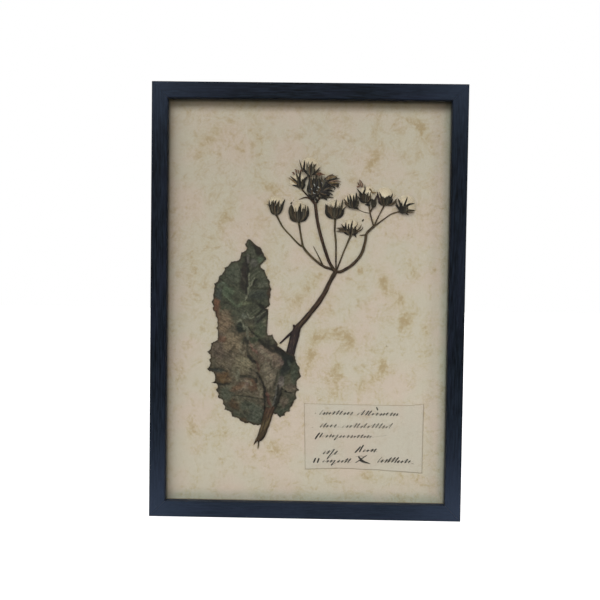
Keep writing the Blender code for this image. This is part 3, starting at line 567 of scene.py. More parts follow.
def label_points():
    """The slip's points, between its uneven top and bottom edges."""
    draw = np.random.default_rng(11)
    columns, rows = LABEL_CELLS
    u, v = np.meshgrid(np.linspace(0, 1, columns + 1), np.linspace(0, 1, rows + 1))
    top_x, top_z = between(LABEL_TOP, u)
    foot_x, foot_z = between(LABEL_BOTTOM, u)
    rough_top, rough_foot = draw.normal(0, LABEL_TORN[0], (2, columns + 1))
    rough_left, rough_right = draw.normal(0, LABEL_TORN[1], (2, rows + 1, 1))
    x = foot_x + (top_x - foot_x) * v + rough_left * (1 - u) ** 8 + rough_right * u**8
    z = foot_z + (top_z - foot_z) * v + rough_top * v**8 + rough_foot * (1 - v) ** 8
    return x, z, label_lift(u, v)


def smooth(stops, steps):
    """Points on a smooth curve that goes through the stops, with as many steps in each span."""
    stops = np.array(stops, float)
    ends = np.concatenate([2 * stops[:1] - stops[1:2], stops, 2 * stops[-1:] - stops[-2:-1]])
    share = np.arange(steps)[:, None] / steps
    spans = []
    for before, start, end, after in zip(ends, ends[1:], ends[2:], ends[3:]):
        bend = (2 * before - 5 * start + 4 * end - after) * share**2
        twist = (3 * start - before - 3 * end + after) * share**3
        spans.append((2 * start + (end - before) * share + bend + twist) / 2)
    return np.concatenate([*spans, stops[-1:]])


def unit(steps):
    """Steps brought to the same length of 1."""
    return steps / (np.linalg.norm(steps, axis=1, keepdims=True) + 1e-9)


def right_of(steps):
    """Steps turned a quarter to the right."""
    return np.stack([steps[:, 1], -steps[:, 0]], axis=-1)


def word_line(start, end, foot, small, talls, draw):
    """The pen's way along a word: down a slanted stroke, then lightly up to the top of the next."""
    stops = []
    x = start
    while x < end:
        height = small * draw.uniform(*MINIM_HEIGHT)
        low = draw.uniform(*MINIM_FOOT)
        for place, tall in talls:
            if abs(x - place) < MINIM_STEP[1] / 2:
                height, low = (tall, low) if tall > 0 else (height, tall)
        stops += [(x + SLANT * height, foot + height), (x + SLANT * low - 0.1, foot + low)]
        x += draw.uniform(*MINIM_STEP)
    stops.append((x + 0.6, foot + 0.5 * small))
    return np.array(stops)


def pen_rings(stops, half_width):
    """A flat pen stroke, heavy where the pen comes down and drawn out at both ends."""
    line = smooth(stops, PEN_CURVE_STEPS)
    step = unit(np.gradient(line, axis=0))
    weight = half_width * (PEN_UPSTROKE + (1 - PEN_UPSTROKE) * np.clip(-1.5 * step[:, 1], 0, 1))
    share = np.linspace(0, 1, len(line))
    weight *= np.minimum(1, 0.3 + 8 * np.minimum(share, 1 - share))
    side = -right_of(step) * weight[:, None]
    y = SHEET_Y - LABEL_LIFT - INK_LIFT
    rings = []
    for sign, front in ((1, y), (-1, y), (-1, y - INK_THICKNESS), (1, y - INK_THICKNESS)):
        x, z = (line + sign * side).T
        rings.append(np.stack([x, np.full(x.size, front), z], axis=-1))
    return np.stack(rings, axis=1)


def writing_mesh():
    """All of the pen strokes, as points and faces."""
    draw = np.random.default_rng(29)
    lines = [(STROKE_SPREAD * half_width, stops) for half_width, *stops in PEN_STROKES]
    for start, end, foot, small, half_width, talls in WORDS:
        lines.append((WORD_SPREAD * half_width, word_line(start, end, foot, small, talls, draw)))
    points, faces = [], []
    for half_width, stops in lines:
        rings = pen_rings(stops, half_width)
        faces += skin(rings, sum(map(len, points)))
        points.append(rings.reshape(-1, 3))
    return np.concatenate(points), faces


def ink_finish():
    material, tree, shader = new_finish("iron_ink", paint(40, 32, 27), 0.7)
    spots = clouds(tree, in_millimetres(tree), 0.9, detail=3)
    colored(tree, shader, laid(tree, band(tree, spots, 0.35, 0.75), paint(22, 17, 14), paint(50, 40, 32)))
    return material


x, z, lift = label_points()
points = np.stack([x, SHEET_Y - lift, z], axis=-1).reshape(-1, 3)
label_paper = paper_finish("label_paper", paint(197, 186, 172), paint(199, 182, 168), paint(172, 149, 121))
label = thickened(mesh_piece("old_label", points, grid_faces(*x.shape), [label_paper]), LABEL_THICKNESS)
rim = np.zeros(x.shape)
rim[[0, -1]] = LABEL_RIM_SHADOW
rim[:, [0, -1]] = LABEL_RIM_SHADOW
store(label, "edge", rim, "FLOAT")
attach(label, "root")
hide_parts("label")

points, faces = writing_mesh()
writing = mesh_piece("label_pen_strokes", points, faces, [ink_finish()])
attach(writing, "root")


# Leaf: one large toothed blade, dried and pressed. It clasps the stem: it lies behind the stem's foot,
# and higher up it bridges the stem in front. It has cockled, and has aged to grey-green, rust and
# purple, with a brown edge.
LEAF_OUTLINE = (
    (-43.1, 45.2), (-41.5, 44.6), (-39.6, 42.6), (-37.6, 40.8), (-36, 39.9), (-34.4, 39.3), (-33.2, 36.6),
    (-32, 34.6), (-31.4, 32.8), (-30.1, 31.4), (-30.5, 30.3), (-32.6, 28.2), (-34.3, 26.4), (-34.2, 25.2),
    (-33, 23.8), (-31.2, 23), (-30.8, 20.6), (-29.7, 18.6), (-28.8, 16.4), (-27.2, 14.8), (-27.6, 12.8),
    (-26.9, 10.4), (-26, 9.3), (-27.1, 7.2), (-26.7, 5.1), (-27, 3.2), (-27.8, 0.8), (-26.9, -1.8),
    (-27.6, -3), (-30.2, -5), (-28.2, -5.5), (-28.4, -12), (-28.8, -18), (-29, -22), (-28.4, -24.3),
    (-26.6, -24.5), (-25.2, -23.6), (-24.6, -24.8), (-24.1, -26.6), (-22.7, -28.3), (-21.4, -29.8),
    (-21, -32.4), (-19.2, -33.2), (-17, -34.9), (-15, -36.1), (-8.2, -39), (-8.2, -41), (-7.4, -44),
    (-6.2, -46), (-4.9, -47.2), (-5.3, -50.2), (-4.5, -52.2), (-3.8, -54.1), (-5.3, -55.4), (-6.9, -57.2),
    (-7.1, -60), (-6.8, -62.4), (-5, -63.8), (-7.2, -65), (-7.7, -67.4), (-6.7, -70), (-8.3, -71.2),
    (-9.4, -73.6), (-9.8, -75.4), (-10.9, -76.4), (-11.7, -77.6), (-11.6, -79.6), (-13.8, -79.8),
    (-15.2, -81), (-15.4, -82.8), (-17, -83), (-18.8, -84.2), (-19.8, -83), (-20.8, -81.5), (-22.6, -82),
    (-23.5, -81.1), (-31.9, -89.2), (-34.8, -90.3), (-36.2, -89.6), (-37.6, -90.1), (-39.2, -89.2),
    (-41.3, -88.1), (-42.4, -88.7), (-44.3, -88.8), (-45.4, -87.7), (-47, -87.4), (-48, -86.4),
    (-49, -85.1), (-51.9, -84.5), (-53.8, -83.6), (-54.1, -81.4), (-55.4, -80.3), (-57.4, -79.5),
    (-59.2, -78.9), (-58.7, -76.8), (-60.5, -74.8), (-60.1, -72.7), (-61.5, -71.4), (-64.2, -70.3),
    (-63.5, -67.6), (-65.6, -65), (-64.2, -62.6), (-64.6, -60.8), (-66, -60), (-68.7, -59.6),
    (-66.5, -58.6), (-66.1, -55.4), (-66.7, -53.4), (-67.7, -51.6), (-70.4, -51), (-72.2, -49.6),
    (-70.5, -47.8), (-69.6, -44.8), (-70.9, -42.9), (-69.5, -41.4), (-70, -39), (-72.3, -37.1),
    (-70.2, -35.6), (-69.4, -33.2), (-69.4, -30.7), (-67.4, -29.8), (-65, -28.5), (-64.5, -26.8),
    (-64.6, -21.4), (-65.7, -19.6), (-64.6, -18), (-65.1, -15.4), (-64.8, -13.4), (-66.3, -10.6),
    (-66.5, -8.2), (-68.7, -6.2), (-67.8, -3.6), (-69.4, -0.5), (-68, 1.8), (-68.3, 4.4), (-67.5, 7.2),
    (-67.6, 9.6), (-66.9, 10.8), (-67.7, 12.6), (-65.6, 13.5), (-64.5, 15.2), (-64.3, 17.9), (-62.3, 19),
    (-61.2, 20.8), (-60, 22.3), (-60.2, 24.3), (-57.8, 25.2), (-56.6, 26.8), (-55.4, 28.6), (-52.4, 29),
    (-50.4, 29.4), (-49.2, 30.8), (-48.7, 32.8), (-48.2, 35.4), (-46, 36), (-44.8, 37.2), (-43.9, 38.4),
    (-44.8, 39.8), (-45.6, 41.5), (-44.6, 42.3), (-44.3, 43.8),
)
MIDRIB = (
    (-25.6, -78), (-27.6, -70), (-31.1, -57.5), (-35.6, -44.4), (-39, -32), (-42.7, 0.7),
    (-44.5, 35.4),
)
STEM_BEHIND_LEAF = ((-25.4, -75.5), (-20.9, -64.2), (-16.9, -54), (-13.6, -44.8), (-11, -35.2))
STEM_FOOT = ((-27, -82), (-29, -92))
SIDE_VEINS = (
    ((-29, -64), (-40, -72), (-54, -74)),
    ((-33, -52), (-46, -58), (-62, -57)),
    ((-36.5, -41), (-50, -43.5), (-68, -38)),
    ((-38.5, -33), (-50, -30), (-62, -22)),
    ((-40.2, -22), (-52, -16), (-65, -5)),
    ((-41.4, -10), (-52, -3), (-64, 8)),
    ((-42.8, 1), (-50, 8), (-58, 19)),
    ((-43.4, 12), (-48, 19), (-51, 27)),
    ((-31, -57), (-20, -58), (-9, -64)),
    ((-34.5, -47), (-26, -44), (-17, -45)),
    ((-38.2, -34), (-32, -29), (-26, -26)),
    ((-40, -23), (-34, -17), (-29, -13)),
    ((-41.5, -9), (-35, -4), (-28, 1)),
    ((-42.9, 3), (-36, 9), (-28.5, 14)),
    ((-43.6, 14), (-38, 20), (-33, 23)),
    ((-44, 24), (-39, 30), (-33, 34)),
)
SIDE_VEIN = (0.45, 0.14)  # half its width, and both its height and how pale it is
VEIN_LEAN = 32  # degrees from the midrib's way
TOOTH_STEP = (1, 3)
TOOTH_REACH = (0.1, 0.55)
TOOTH_POINT = 0.62  # how far along a tooth its point is
TOOTH_HOLLOW = 1.7  # 1 is straight-sided
MARGIN_STEP = 0.3
LEAF_CELL = 0.5
LEAF_SCATTER = 0.3  # how far its points stray from their places, as a share of a cell
LEAF_THICKNESS = 0.22
LEAF_LIFT = 0.1  # of its back over the sheet
LEAF_MIDDLE = 0.5  # of its puffs, over that
LEAF_PUFFS = ((15, 0.42, 1.7), (6.5, 0.34, 4.1), (2.8, 0.16, 9.3))  # wavelength, height, seed
LEAF_FLAT = (0.03, 1.4)  # the lowest and the highest that the puffs come to
MIDRIB_LEVELS = (-75, -20, 35)
MIDRIB_HEIGHTS = (0.75, 0.5, 0.2)
MIDRIB_FURROWS = (0.3, 0.2, 0.08)
FOLD_DEPTH = 0.4
RIDGE_HEIGHT = 0.18
STEM_ARCH = 2  # how high the leaf stands where it bridges the stem
STEM_BRIDGE = (2.2, 6.4)  # how far from the stem's middle it stands so high, and is down again
STEM_FOOT_FLAT = (3, 7)  # the same for how it is pressed flat behind the stem's foot
FLAT_BELOW = -80  # where the leaf passes from behind the stem to its front
FLAT_RUN = 6
LEAF_EDGE_BROWN = 0.85
PATCH_EDGE = (0.6, 1.4)  # where a patch begins to fade and where it is gone, as shares of its size
PATCH_WANDER = ((1.7, 4.2, 12.5), (0.7, 1.5, 15.5))  # reach, wavelength, seed
STROKE_WANDER = ((0.35, 1.4, 41.5),)
LEAF_GROUND = paint(68, 69, 56)  # its colour where no patch lies

# Each patch of colour on the leaf is (x, z, half width, half height, degrees clockwise, share).
LEAF_COLORS = (
    (paint(96, 85, 71), ((-48, -40, 24, 24, 0, 0.9), (-40, -66, 26, 14, 0, 0.65))),
    (paint(114, 100, 86), ((-40, -30, 3.4, 3, 0, 0.8), (-55, -42, 5, 4, 0, 0.4))),
    (paint(108, 92, 80), ((-30.2, -75.4, 1.6, 3, 0, 0.5), (-24, -78, 1.4, 3, 0, 0.5))),
    (paint(104, 98, 82), (
        (-47.5, -71.4, 6, 2, 0, 0.8), (-56, -62.4, 3.4, 2, 0, 0.7), (-30, -16, 2, 2.6, 0, 0.6),
        (-52, -50, 3, 2.6, 0, 0.6), (-12, -56, 2.4, 3, 0, 0.7),
    )),
    (paint(121, 101, 83), ((-60.1, -15.6, 5.6, 8.6, 0, 0.85),)),
    (paint(133, 116, 95), ((-53.8, -30.9, 7.5, 6.3, 0, 0.85),)),
    (paint(96, 82, 72), ((-63.1, -26.8, 3.8, 4.1, 0, 0.8), (-63.9, -36.8, 5.1, 6.1, 0, 0.9))),
    (paint(110, 71, 53), (
        (-66.2, -3.4, 2.7, 5.8, 0, 0.8), (-61.3, -27.5, 2.6, 2, 0, 0.5), (-64.4, -11, 1.8, 4, -12, 0.5),
    )),
    (paint(78, 80, 68), ((-53.8, 19.7, 6.6, 6.1, 0, 0.9), (-58.2, -67.4, 4.8, 4.7, 0, 0.9))),
    (paint(80, 90, 72), ((-57.8, 7.5, 4.8, 3.6, 0, 0.75), (-34.1, 31.2, 2.8, 2.5, 0, 0.8))),
    (paint(62, 64, 62), ((-63.9, 5.3, 2.5, 4.6, 0, 0.8),)),
    (paint(112, 114, 90), ((-44.9, -1.5, 4.6, 1.3, 0, 0.7), (-41, -20, 1.4, 3, 0, 0.35))),
    (paint(102, 104, 94), ((-44.3, -10.2, 3.8, 2.3, 0, 0.6), (-32.6, -10.2, 0.55, 5.1, 50, 0.7))),
    (paint(86, 86, 74), ((-32.8, 12.8, 4.6, 2.3, 0, 0.8), (-40.2, 34.7, 2.5, 4.1, 0, 0.7))),
    (paint(92, 87, 84), ((-39.1, 27.6, 3.1, 3.1, 0, 0.7),)),
    (paint(50, 54, 50), (
        (-35.8, 4.4, 7.6, 3.4, 0, 0.7), (-36.6, -14, 2.6, 2.2, 0, 0.6), (-65.9, -49.8, 5.3, 1.4, 0, 0.9),
    )),
    (paint(38, 30, 26), ((-45.8, 23.4, 2.9, 8, 4, 0.95), (-45.6, 13.7, 3.2, 5.8, 0, 0.85))),
    (paint(34, 29, 23), ((-36.2, 38.2, 2.6, 6.4, -38, 1), (-42.6, 16.8, 0.8, 8.2, 0, 0.85))),
    (paint(126, 126, 106), ((-40.2, 13, 0.6, 2.3, 10, 0.7), (-41.2, 9, 0.5, 2, 0, 0.4))),
    (paint(54, 38, 28), ((-27.4, 5.8, 1.1, 9.2, 0, 0.8),)),
    (paint(67, 73, 57), ((-34, -20.8, 4.6, 6.6, 0, 0.8), (-37.8, -27.7, 3.2, 2.4, 0, 0.9))),
    (paint(28, 32, 24), ((-47.3, -18.9, 3.8, 4.3, 0, 1), (-44.2, -28.1, 4, 3.2, 0, 0.8))),
    (paint(124, 114, 94), ((-45.1, -45.6, 6.8, 6.2, 0, 0.9),)),
    (paint(90, 68, 46), ((-60.6, -55.8, 5.6, 4.2, 0, 0.85),)),
    (paint(114, 86, 54), ((-57.9, -53.6, 1.8, 2.4, 0, 0.6), (-62, -56.6, 2.2, 1.6, 0, 0.35))),
    (paint(110, 107, 91), ((-50.2, -54.2, 2.2, 3.2, 0, 0.8),)),
    (paint(46, 43, 38), ((-28.7, -30.6, 5.1, 3.2, 30, 0.9), (-31, -8.6, 0.7, 5.6, 40, 0.85))),
    # Near-black patches along folds: painted shade.
    (paint(34, 27, 26), (
        (-19.6, -35, 5.9, 2.3, 27, 0.95), (-41.5, -40, 1.8, 2.6, -35, 0.95),
        (-38.6, -43.2, 1.2, 2.4, -55, 0.9),
    )),
    (paint(115, 99, 87), ((-29.2, -38.6, 7, 5.6, 24, 0.95), (-23, -42.6, 6.4, 5.2, 36, 0.95))),
    (paint(116, 105, 91), ((-26.4, -51.6, 5.6, 7.6, -4, 0.95), (-27.4, -58, 3, 4, -20, 0.9))),
    (paint(124, 104, 98), ((-17.4, -44.4, 1.5, 4.2, -35, 0.9), (-34.6, -34.6, 3, 2.6, 0, 0.6))),
    (paint(82, 60, 51), ((-35.2, -47.2, 1.4, 4.4, -18, 0.85),)),
    (paint(80, 64, 56), ((-27, -41.7, 1.1, 2.2, 0, 0.8), (-23.5, -45.4, 0.8, 2.8, 0, 0.7))),
    (paint(128, 94, 84), ((-38.9, -34.6, 1, 4.6, -24, 0.9),)),
    (paint(116, 102, 88), ((-44, -61.6, 6, 4.2, 0, 0.85), (-33.4, -67, 2.6, 4, 0, 0.7))),
    (paint(124, 102, 94), ((-43.6, -59, 2.2, 2.6, 0, 0.8),)),
    (paint(104, 78, 60), ((-51, -63, 4.6, 1.6, -22, 0.7), (-48, -60.4, 3.4, 1.4, -22, 0.6))),
    (paint(88, 60, 44), ((-38.8, -61.2, 2.8, 4.8, -8, 0.7), (-41.4, -56.8, 3, 1.6, 20, 0.4))),
    (paint(74, 57, 40), ((-52.2, -75.6, 4.8, 3.8, 20, 0.95), (-46, -86.4, 10, 1.6, 17, 0.8))),
    (paint(78, 80, 70), ((-36.1, -82.6, 5.6, 6.4, 0, 0.85),)),
    (paint(77, 81, 69), ((-42.1, -76, 6.4, 3.2, 0, 0.8),)),
    (paint(113, 103, 100), ((-17.7, -57.6, 2.2, 4.6, 14, 0.9),)),
    (paint(27, 30, 27), ((-15.4, -47.9, 3.4, 6.6, 17, 0.95), (-13.3, -39.7, 4, 5.2, 10, 0.95))),
    (paint(70, 74, 62), ((-8.9, -52.8, 3.2, 6, 0, 0.9), (-16.3, -80.7, 4.8, 3.6, 0, 0.9))),
    (paint(108, 95, 83), ((-10.2, -62.4, 4.2, 3.5, 0, 0.85), (-16, -73.2, 2.7, 3.4, 0, 0.85))),
    (paint(30, 28, 27), ((-22.3, -67.9, 1.2, 3.6, 20, 0.95), (-19.3, -70, 0.8, 6.6, 16, 0.9))),
    (paint(34, 23, 23), ((-29, -67.5, 0.7, 7.6, -12, 0.9),)),
    (paint(88, 56, 50), ((-26.6, -71.8, 0.9, 5.4, -14, 0.85),)),
)

# Each stroke on the leaf is (colour, half its width, share, line). Dark ones are folds and creases, which
# are sunk, and their darkness is painted shade; pale ones are veins and worn ridges, which stand up.
MID_TONE = 0.25
FOLD = paint(27, 25, 20)
SHADE = paint(44, 42, 33)
VEIN = paint(126, 125, 108)
BUFF = paint(123, 114, 97)
LEAF_STROKES = (
    (FOLD, 0.8, 0.9, ((-45, 32), (-43.8, 26), (-42.9, 21), (-43.6, 15), (-44.2, 9), (-44.2, 5.5))),
    (FOLD, 0.8, 0.9, ((-42.2, 13.2), (-41, 10.4), (-39.4, 12.2), (-38.4, 14.6), (-37, 16.2))),
    (SHADE, 0.6, 0.8, ((-41.6, 33.8), (-41.2, 31), (-41.6, 29.4))),
    (SHADE, 0.8, 0.8, ((-62.8, 15.8), (-60.2, 13.2), (-57, 11), (-53.6, 10.2))),
    (SHADE, 0.6, 0.5, ((-58.6, 17), (-55.4, 13.8), (-51.6, 12.8))),
    (SHADE, 0.6, 0.8, ((-40, 9), (-34, 9.1), (-29, 8.8))),
    (SHADE, 1.1, 0.6, ((-59.6, -1.2), (-57, -0.8))),
    (SHADE, 1.2, 0.6, ((-52.4, 3), (-50.4, 1.2))),
    (SHADE, 1.2, 0.6, ((-38.8, 1.2), (-36.4, -1.2))),
    (FOLD, 1.4, 0.95, ((-34, -2.6), (-31.4, -4.6), (-29, -5.8))),
    (FOLD, 0.8, 0.8, ((-31.4, -4.6), (-34.8, -8.6), (-38.4, -11.8))),
    (FOLD, 1, 0.8, ((-29.4, -8), (-32.6, -11.6), (-35.6, -14.4))),
    (FOLD, 0.6, 0.9, ((-42.6, -19), (-38.6, -23.2), (-35.8, -25.6))),
    (FOLD, 1.4, 0.85, ((-34.6, -28.2), (-30.4, -31.6), (-25.4, -35.4), (-20.4, -36.4), (-15.8, -38.4))),
    (SHADE, 0.8, 0.6, ((-43.4, -27), (-43, -34), (-42.2, -38), (-40.6, -41.4))),
    (FOLD, 0.7, 0.9, ((-42, -40.6), (-39.8, -42.4), (-36.8, -44.8))),
    (SHADE, 0.8, 0.8, ((-66, -59.9), (-61, -60.8), (-56, -60.2))),
    (SHADE, 1, 0.5, ((-51.8, -31.6), (-54, -35), (-56.2, -38.4))),
    (SHADE, 0.5, 0.7, ((-25.6, -42.6), (-26.2, -46), (-24.4, -48.4), (-22.6, -47.4))),
    (SHADE, 0.7, 0.7, ((-70.6, -49.6), (-65.4, -49.4), (-60, -50.6), (-57.6, -51.4))),
    (SHADE, 1.1, 0.85, ((-47.8, -54.6), (-42.4, -54.4), (-37.8, -56.2), (-35.6, -58.8))),
    (SHADE, 1, 0.8, ((-40.4, -49.2), (-39.8, -50.2))),
    (FOLD, 0.8, 0.9, ((-35.8, -52), (-33.2, -56), (-30.8, -61), (-30.1, -68), (-29.9, -78), (-31.6, -87))),
    (FOLD, 0.7, 0.8, ((-36.4, -56), (-36, -58.6))),
    (SHADE, 0.5, 0.85, ((-52.4, -68.6), (-44.4, -69.2), (-36.4, -70.3), (-31, -71.4))),
    (SHADE, 1.1, 0.5, ((-43.4, -72.6), (-42.2, -75.4))),
    (SHADE, 0.9, 0.6, ((-44.6, -81.4), (-42.2, -83.2), (-41.6, -85))),
    (FOLD, 1, 0.9, ((-20.2, -60.4), (-20.6, -66), (-22.6, -72), (-23.2, -79))),
    (FOLD, 0.8, 0.85, ((-17.2, -61.6), (-19, -66.6), (-21, -72), (-22, -77.6))),
    (FOLD, 0.5, 0.9, ((-15.2, -65.2), (-12.6, -66), (-10.4, -66.4))),
    (SHADE, 0.9, 0.6, ((-20.6, -51), (-21.6, -56), (-22.6, -60))),
    (VEIN, 0.5, 0.9, ((-42.3, 20.4), (-42.5, 14.6), (-41.6, 11.2))),
    (VEIN, 0.45, 0.9, ((-38.6, 17), (-40, 14.4), (-40.6, 11.6))),
    (VEIN, 0.5, 0.7, ((-42.9, 9.8), (-43.4, 5), (-45, 0.6))),
    (paint(96, 90, 86), 0.9, 0.8, ((-43.6, 33.4), (-43.2, 28.4))),
    (VEIN, 0.5, 0.9, ((-43.6, -8.4), (-42, -11.2), (-40.2, -12.2), (-38.6, -11))),
    (VEIN, 0.7, 0.7, ((-50.8, -15.4), (-48.4, -13.8), (-46.4, -16.4), (-45.4, -20))),
    (VEIN, 0.45, 0.5, ((-30.4, -7), (-33.4, -9.6), (-35.8, -11.2))),
    (VEIN, 0.9, 0.6, ((-43.8, -17), (-43.2, -23), (-42.8, -27))),
    (paint(92, 102, 82), 1, 0.6, ((-60, 4), (-56, 1.6), (-51.6, -3.6), (-48, -2))),
    (paint(86, 94, 80), 1, 0.7, ((-65, 11.4), (-61.4, 13.2), (-58.4, 11.8))),
    (BUFF, 0.7, 0.8, ((-49.2, -34.8), (-46.8, -37.6), (-45.2, -36.4))),
    (BUFF, 0.8, 0.6, ((-47.4, -29), (-48.2, -33.4))),
    (BUFF, 1.4, 0.6, ((-35.6, -33), (-31.4, -37.4), (-26, -41))),
    (BUFF, 1, 0.5, ((-29.4, -38), (-29.8, -46), (-28.6, -56), (-27.6, -62))),
    (BUFF, 1, 0.7, ((-46, -57.6), (-41.4, -58.4), (-39.8, -60.6))),
    (BUFF, 1.1, 0.7, ((-35, -60), (-33.2, -66.6), (-33.8, -69.4))),
    (BUFF, 0.5, 0.8, ((-17.2, -61), (-15.2, -63.4), (-13.6, -64.6))),
    (paint(104, 70, 62), 0.35, 0.6, ((-28.4, -66), (-26.4, -71), (-25, -77))),
    (paint(96, 94, 90), 0.6, 0.7, ((-21.6, -62), (-21.9, -68), (-23.8, -75))),
    (paint(84, 92, 80), 0.8, 0.6, ((-13.2, -42.6), (-12, -45.6))),
)


# Tints that the leaf's colours are multiplied by in clouds, in specks and along its finest veins.
DEEPEST = (0.42, 0.4, 0.38, 1)
DEEPER = (0.5, 0.48, 0.46, 1)
PALER = (1.6, 1.56, 1.5, 1)
PALEST = (1.7, 1.66, 1.6, 1)


def ease(value):
    value = np.clip(value, 0, 1)
    return value * value * (3 - 2 * value)


def evenly(line, step):
    """Points that far apart along a line, and how far along it they are."""
    gaps = np.linalg.norm(np.diff(line[:, :2], axis=0), axis=1)
    run = np.concatenate([[0], np.cumsum(gaps)])
    wanted = np.linspace(0, run[-1], max(3, round(run[-1] / step) + 1))
    return np.stack([np.interp(wanted, run, column) for column in line.T], axis=-1), wanted


def line_distance(line, x, z):
    """How far points are from a line of (x, z) stops."""
    here = np.stack([x, z], axis=-1)
    nearest = np.full(x.shape, np.inf)
    line = np.array(line)
    for start, end in zip(line[:-1], line[1:]):
        span = end - start
        share = np.clip((here - start) @ span / (span @ span), 0, 1)
        nearest = np.minimum(nearest, np.linalg.norm(here - start - share[..., None] * span, axis=-1))
    return nearest


def inside(outline, x, z):
    """Whether points are inside a closed outline."""
    crossed = np.zeros(x.shape, int)
    for (x0, z0), (x1, z1) in zip(outline, np.roll(outline, -1, axis=0)):
        spans = (z0 > z) != (z1 > z)
        rise = (z1 - z0) if z1 != z0 else 1e-9
        crossed += spans & (x < x0 + (z - z0) * (x1 - x0) / rise)
    return crossed % 2 == 1


def rumpled(x, z, wavelength, seed):
    """Soft random values round 0 at points in millimetres."""
    places = zip((x / wavelength).ravel(), (z / wavelength).ravel())
    return np.array([noise.noise((u, v, seed)) for u, v in places]).reshape(x.shape)


def toothed_margin(draw):
    """The leaf's edge, with uneven teeth that point outwards."""
    line, run = evenly(np.array((*LEAF_OUTLINE, LEAF_OUTLINE[0])), MARGIN_STEP)
    stops = [0.0]
    while stops[-1] < run[-1]:
        stops.append(stops[-1] + draw.uniform(*TOOTH_STEP))
    stops = np.array(stops)
    which = np.searchsorted(stops, run, side="right") - 1
    phase = (run - stops[which]) / np.diff(stops, append=stops[-1] + 1)[which]
    shape = np.minimum(phase / TOOTH_POINT, (1 - phase) / (1 - TOOTH_POINT)) ** TOOTH_HOLLOW
    reach = draw.uniform(*TOOTH_REACH, len(stops))[which]
    number = np.arange(len(line))
    outward = -right_of(unit(line[(number + 2) % len(line)] - line[number - 2]))
    return (line + outward * (reach * (shape - 0.25))[:, None])[:-1]


def wandered(x, z, waves):
    """Places moved a little, by waves of (reach, wavelength, seed)."""
    moved = []
    for place, apart in ((x, 0), (z, 10)):
        for reach, wavelength, seed in waves:
            place = place + reach * rumpled(x, z, wavelength, seed + apart)
        moved.append(place)
    return moved


def falling(distance, full, none):
    """1 up to one distance, easing to 0 at another."""
    return ease((none - distance) / (none - full))


def line_share(x, z, half_width, line):
    """1 along the middle of a line, falling to 0 at one and a half times half_width."""
    return ease((1.5 - line_distance(smooth(line, 4), x, z) / half_width) / 1.1)


def leaf_front(x, z):
    """How high the leaf's front stands over the sheet."""
    clear = ease((z - FLAT_BELOW) / FLAT_RUN)
    over_stem = falling(line_distance(STEM_BEHIND_LEAF, x, z), *STEM_BRIDGE) * clear
    near_stem = falling(line_distance(STEM_FOOT, x, z), *STEM_FOOT_FLAT)
    midrib = line_distance(MIDRIB, x, z)
    ridge = ease(1 - midrib / 1.5) * np.interp(z, MIDRIB_LEVELS, MIDRIB_HEIGHTS)
    furrow = ease(1 - np.abs(midrib - 1.9) / 0.9) * np.interp(z, MIDRIB_LEVELS, MIDRIB_FURROWS)
    puff = LEAF_MIDDLE
    for wavelength, height, seed in LEAF_PUFFS:
        puff = puff + height * rumpled(x, z, wavelength, seed)
    worked = np.zeros(x.shape)
    for color, half_width, share, line in LEAF_STROKES:
        rise = RIDGE_HEIGHT if sum(color[:3]) > MID_TONE else -FOLD_DEPTH
        worked += rise * share * line_share(x, z, half_width, line)
    fold = ease(1 - np.abs(over_stem - 0.5) / 0.5) * 0.25 * rumpled(x, z, 3, 6.6)
    vein_half_width, vein_height = SIDE_VEIN
    side = sum(vein_height * line_share(x, z, vein_half_width, line) for line in SIDE_VEINS)
    flat = np.clip(puff + worked - furrow, *LEAF_FLAT) * (1 - 0.75 * np.maximum(over_stem, near_stem))
    return LEAF_LIFT + LEAF_THICKNESS + flat + ridge * clear + side + STEM_ARCH * over_stem + fold


def leaf_tone(x, z):
    """The leaf's colour from its patches, veins and strokes, whose edges wander."""
    here_x, here_z = wandered(x, z, PATCH_WANDER)
    near_x, near_z = wandered(x, z, STROKE_WANDER)
    tone = np.empty((*x.shape, 4))
    tone[:] = LEAF_GROUND
    for color, patches in LEAF_COLORS:
        for left, up, half_width, half_height, degrees, share in patches:
            u, v = turned(here_x - left, here_z - up, degrees)
            cover = share * falling(np.hypot(u / half_width, v / half_height), *PATCH_EDGE)
            tone += (np.array(color) - tone) * cover[..., None]
    veins = [(VEIN, *SIDE_VEIN, line) for line in SIDE_VEINS]
    for color, half_width, share, line in (*veins, *LEAF_STROKES):
        tone += (np.array(color) - tone) * share * line_share(near_x, near_z, half_width, line)[..., None]
    return tone


def leaf_finish():
    material, tree, shader = new_finish("leaf_green", paint(66, 68, 56), 0.62)
    shader.inputs["Specular IOR Level"].default_value = 0.12
    tone = stored(tree, "tone", "Color")
    places = in_millimetres(tree)
    mottle = clouds(tree, places, 0.34, detail=8, rough=0.68, warp=0.5)
    fine = clouds(tree, places, 1.5, detail=5, rough=0.72)
    veins = clouds(tree, stretched(tree, stored(tree, "grain"), (0.13, 0.75, 1)), detail=5, rough=0.62)
    patchy = clouds(tree, places, 0.62, detail=3, rough=0.6, warp=0.8)
    shade = band(tree, mottle, 0.34, 0.66)
    color = laid(tree, 1.0, tone, laid(tree, shade, paint(176, 174, 170), paint(255, 255, 250)), "MULTIPLY")
    for value, low, high, share, tint in (
        (patchy, 0.47, 0.34, 0.55, DEEPEST),
        (patchy, 0.53, 0.67, 0.5, PALEST),
        (veins, 0.47, 0.36, 0.7, DEEPER),
        (veins, 0.53, 0.66, 0.6, PALEST),
        (fine, 0.5, 0.7, 0.7, DEEPER),
        (fine, 0.46, 0.3, 0.7, PALER),
    ):
        color = washed(tree, color, value, low, high, share, tint, "MULTIPLY")
    color = laid(tree, stored(tree, "edge", "Fac"), color, paint(48, 36, 24))
    colored(tree, shader, color)
    bumpy(tree, shader, laid(tree, 0.4, laid(tree, 0.4, mottle, fine), veins), 0.35)
    return material


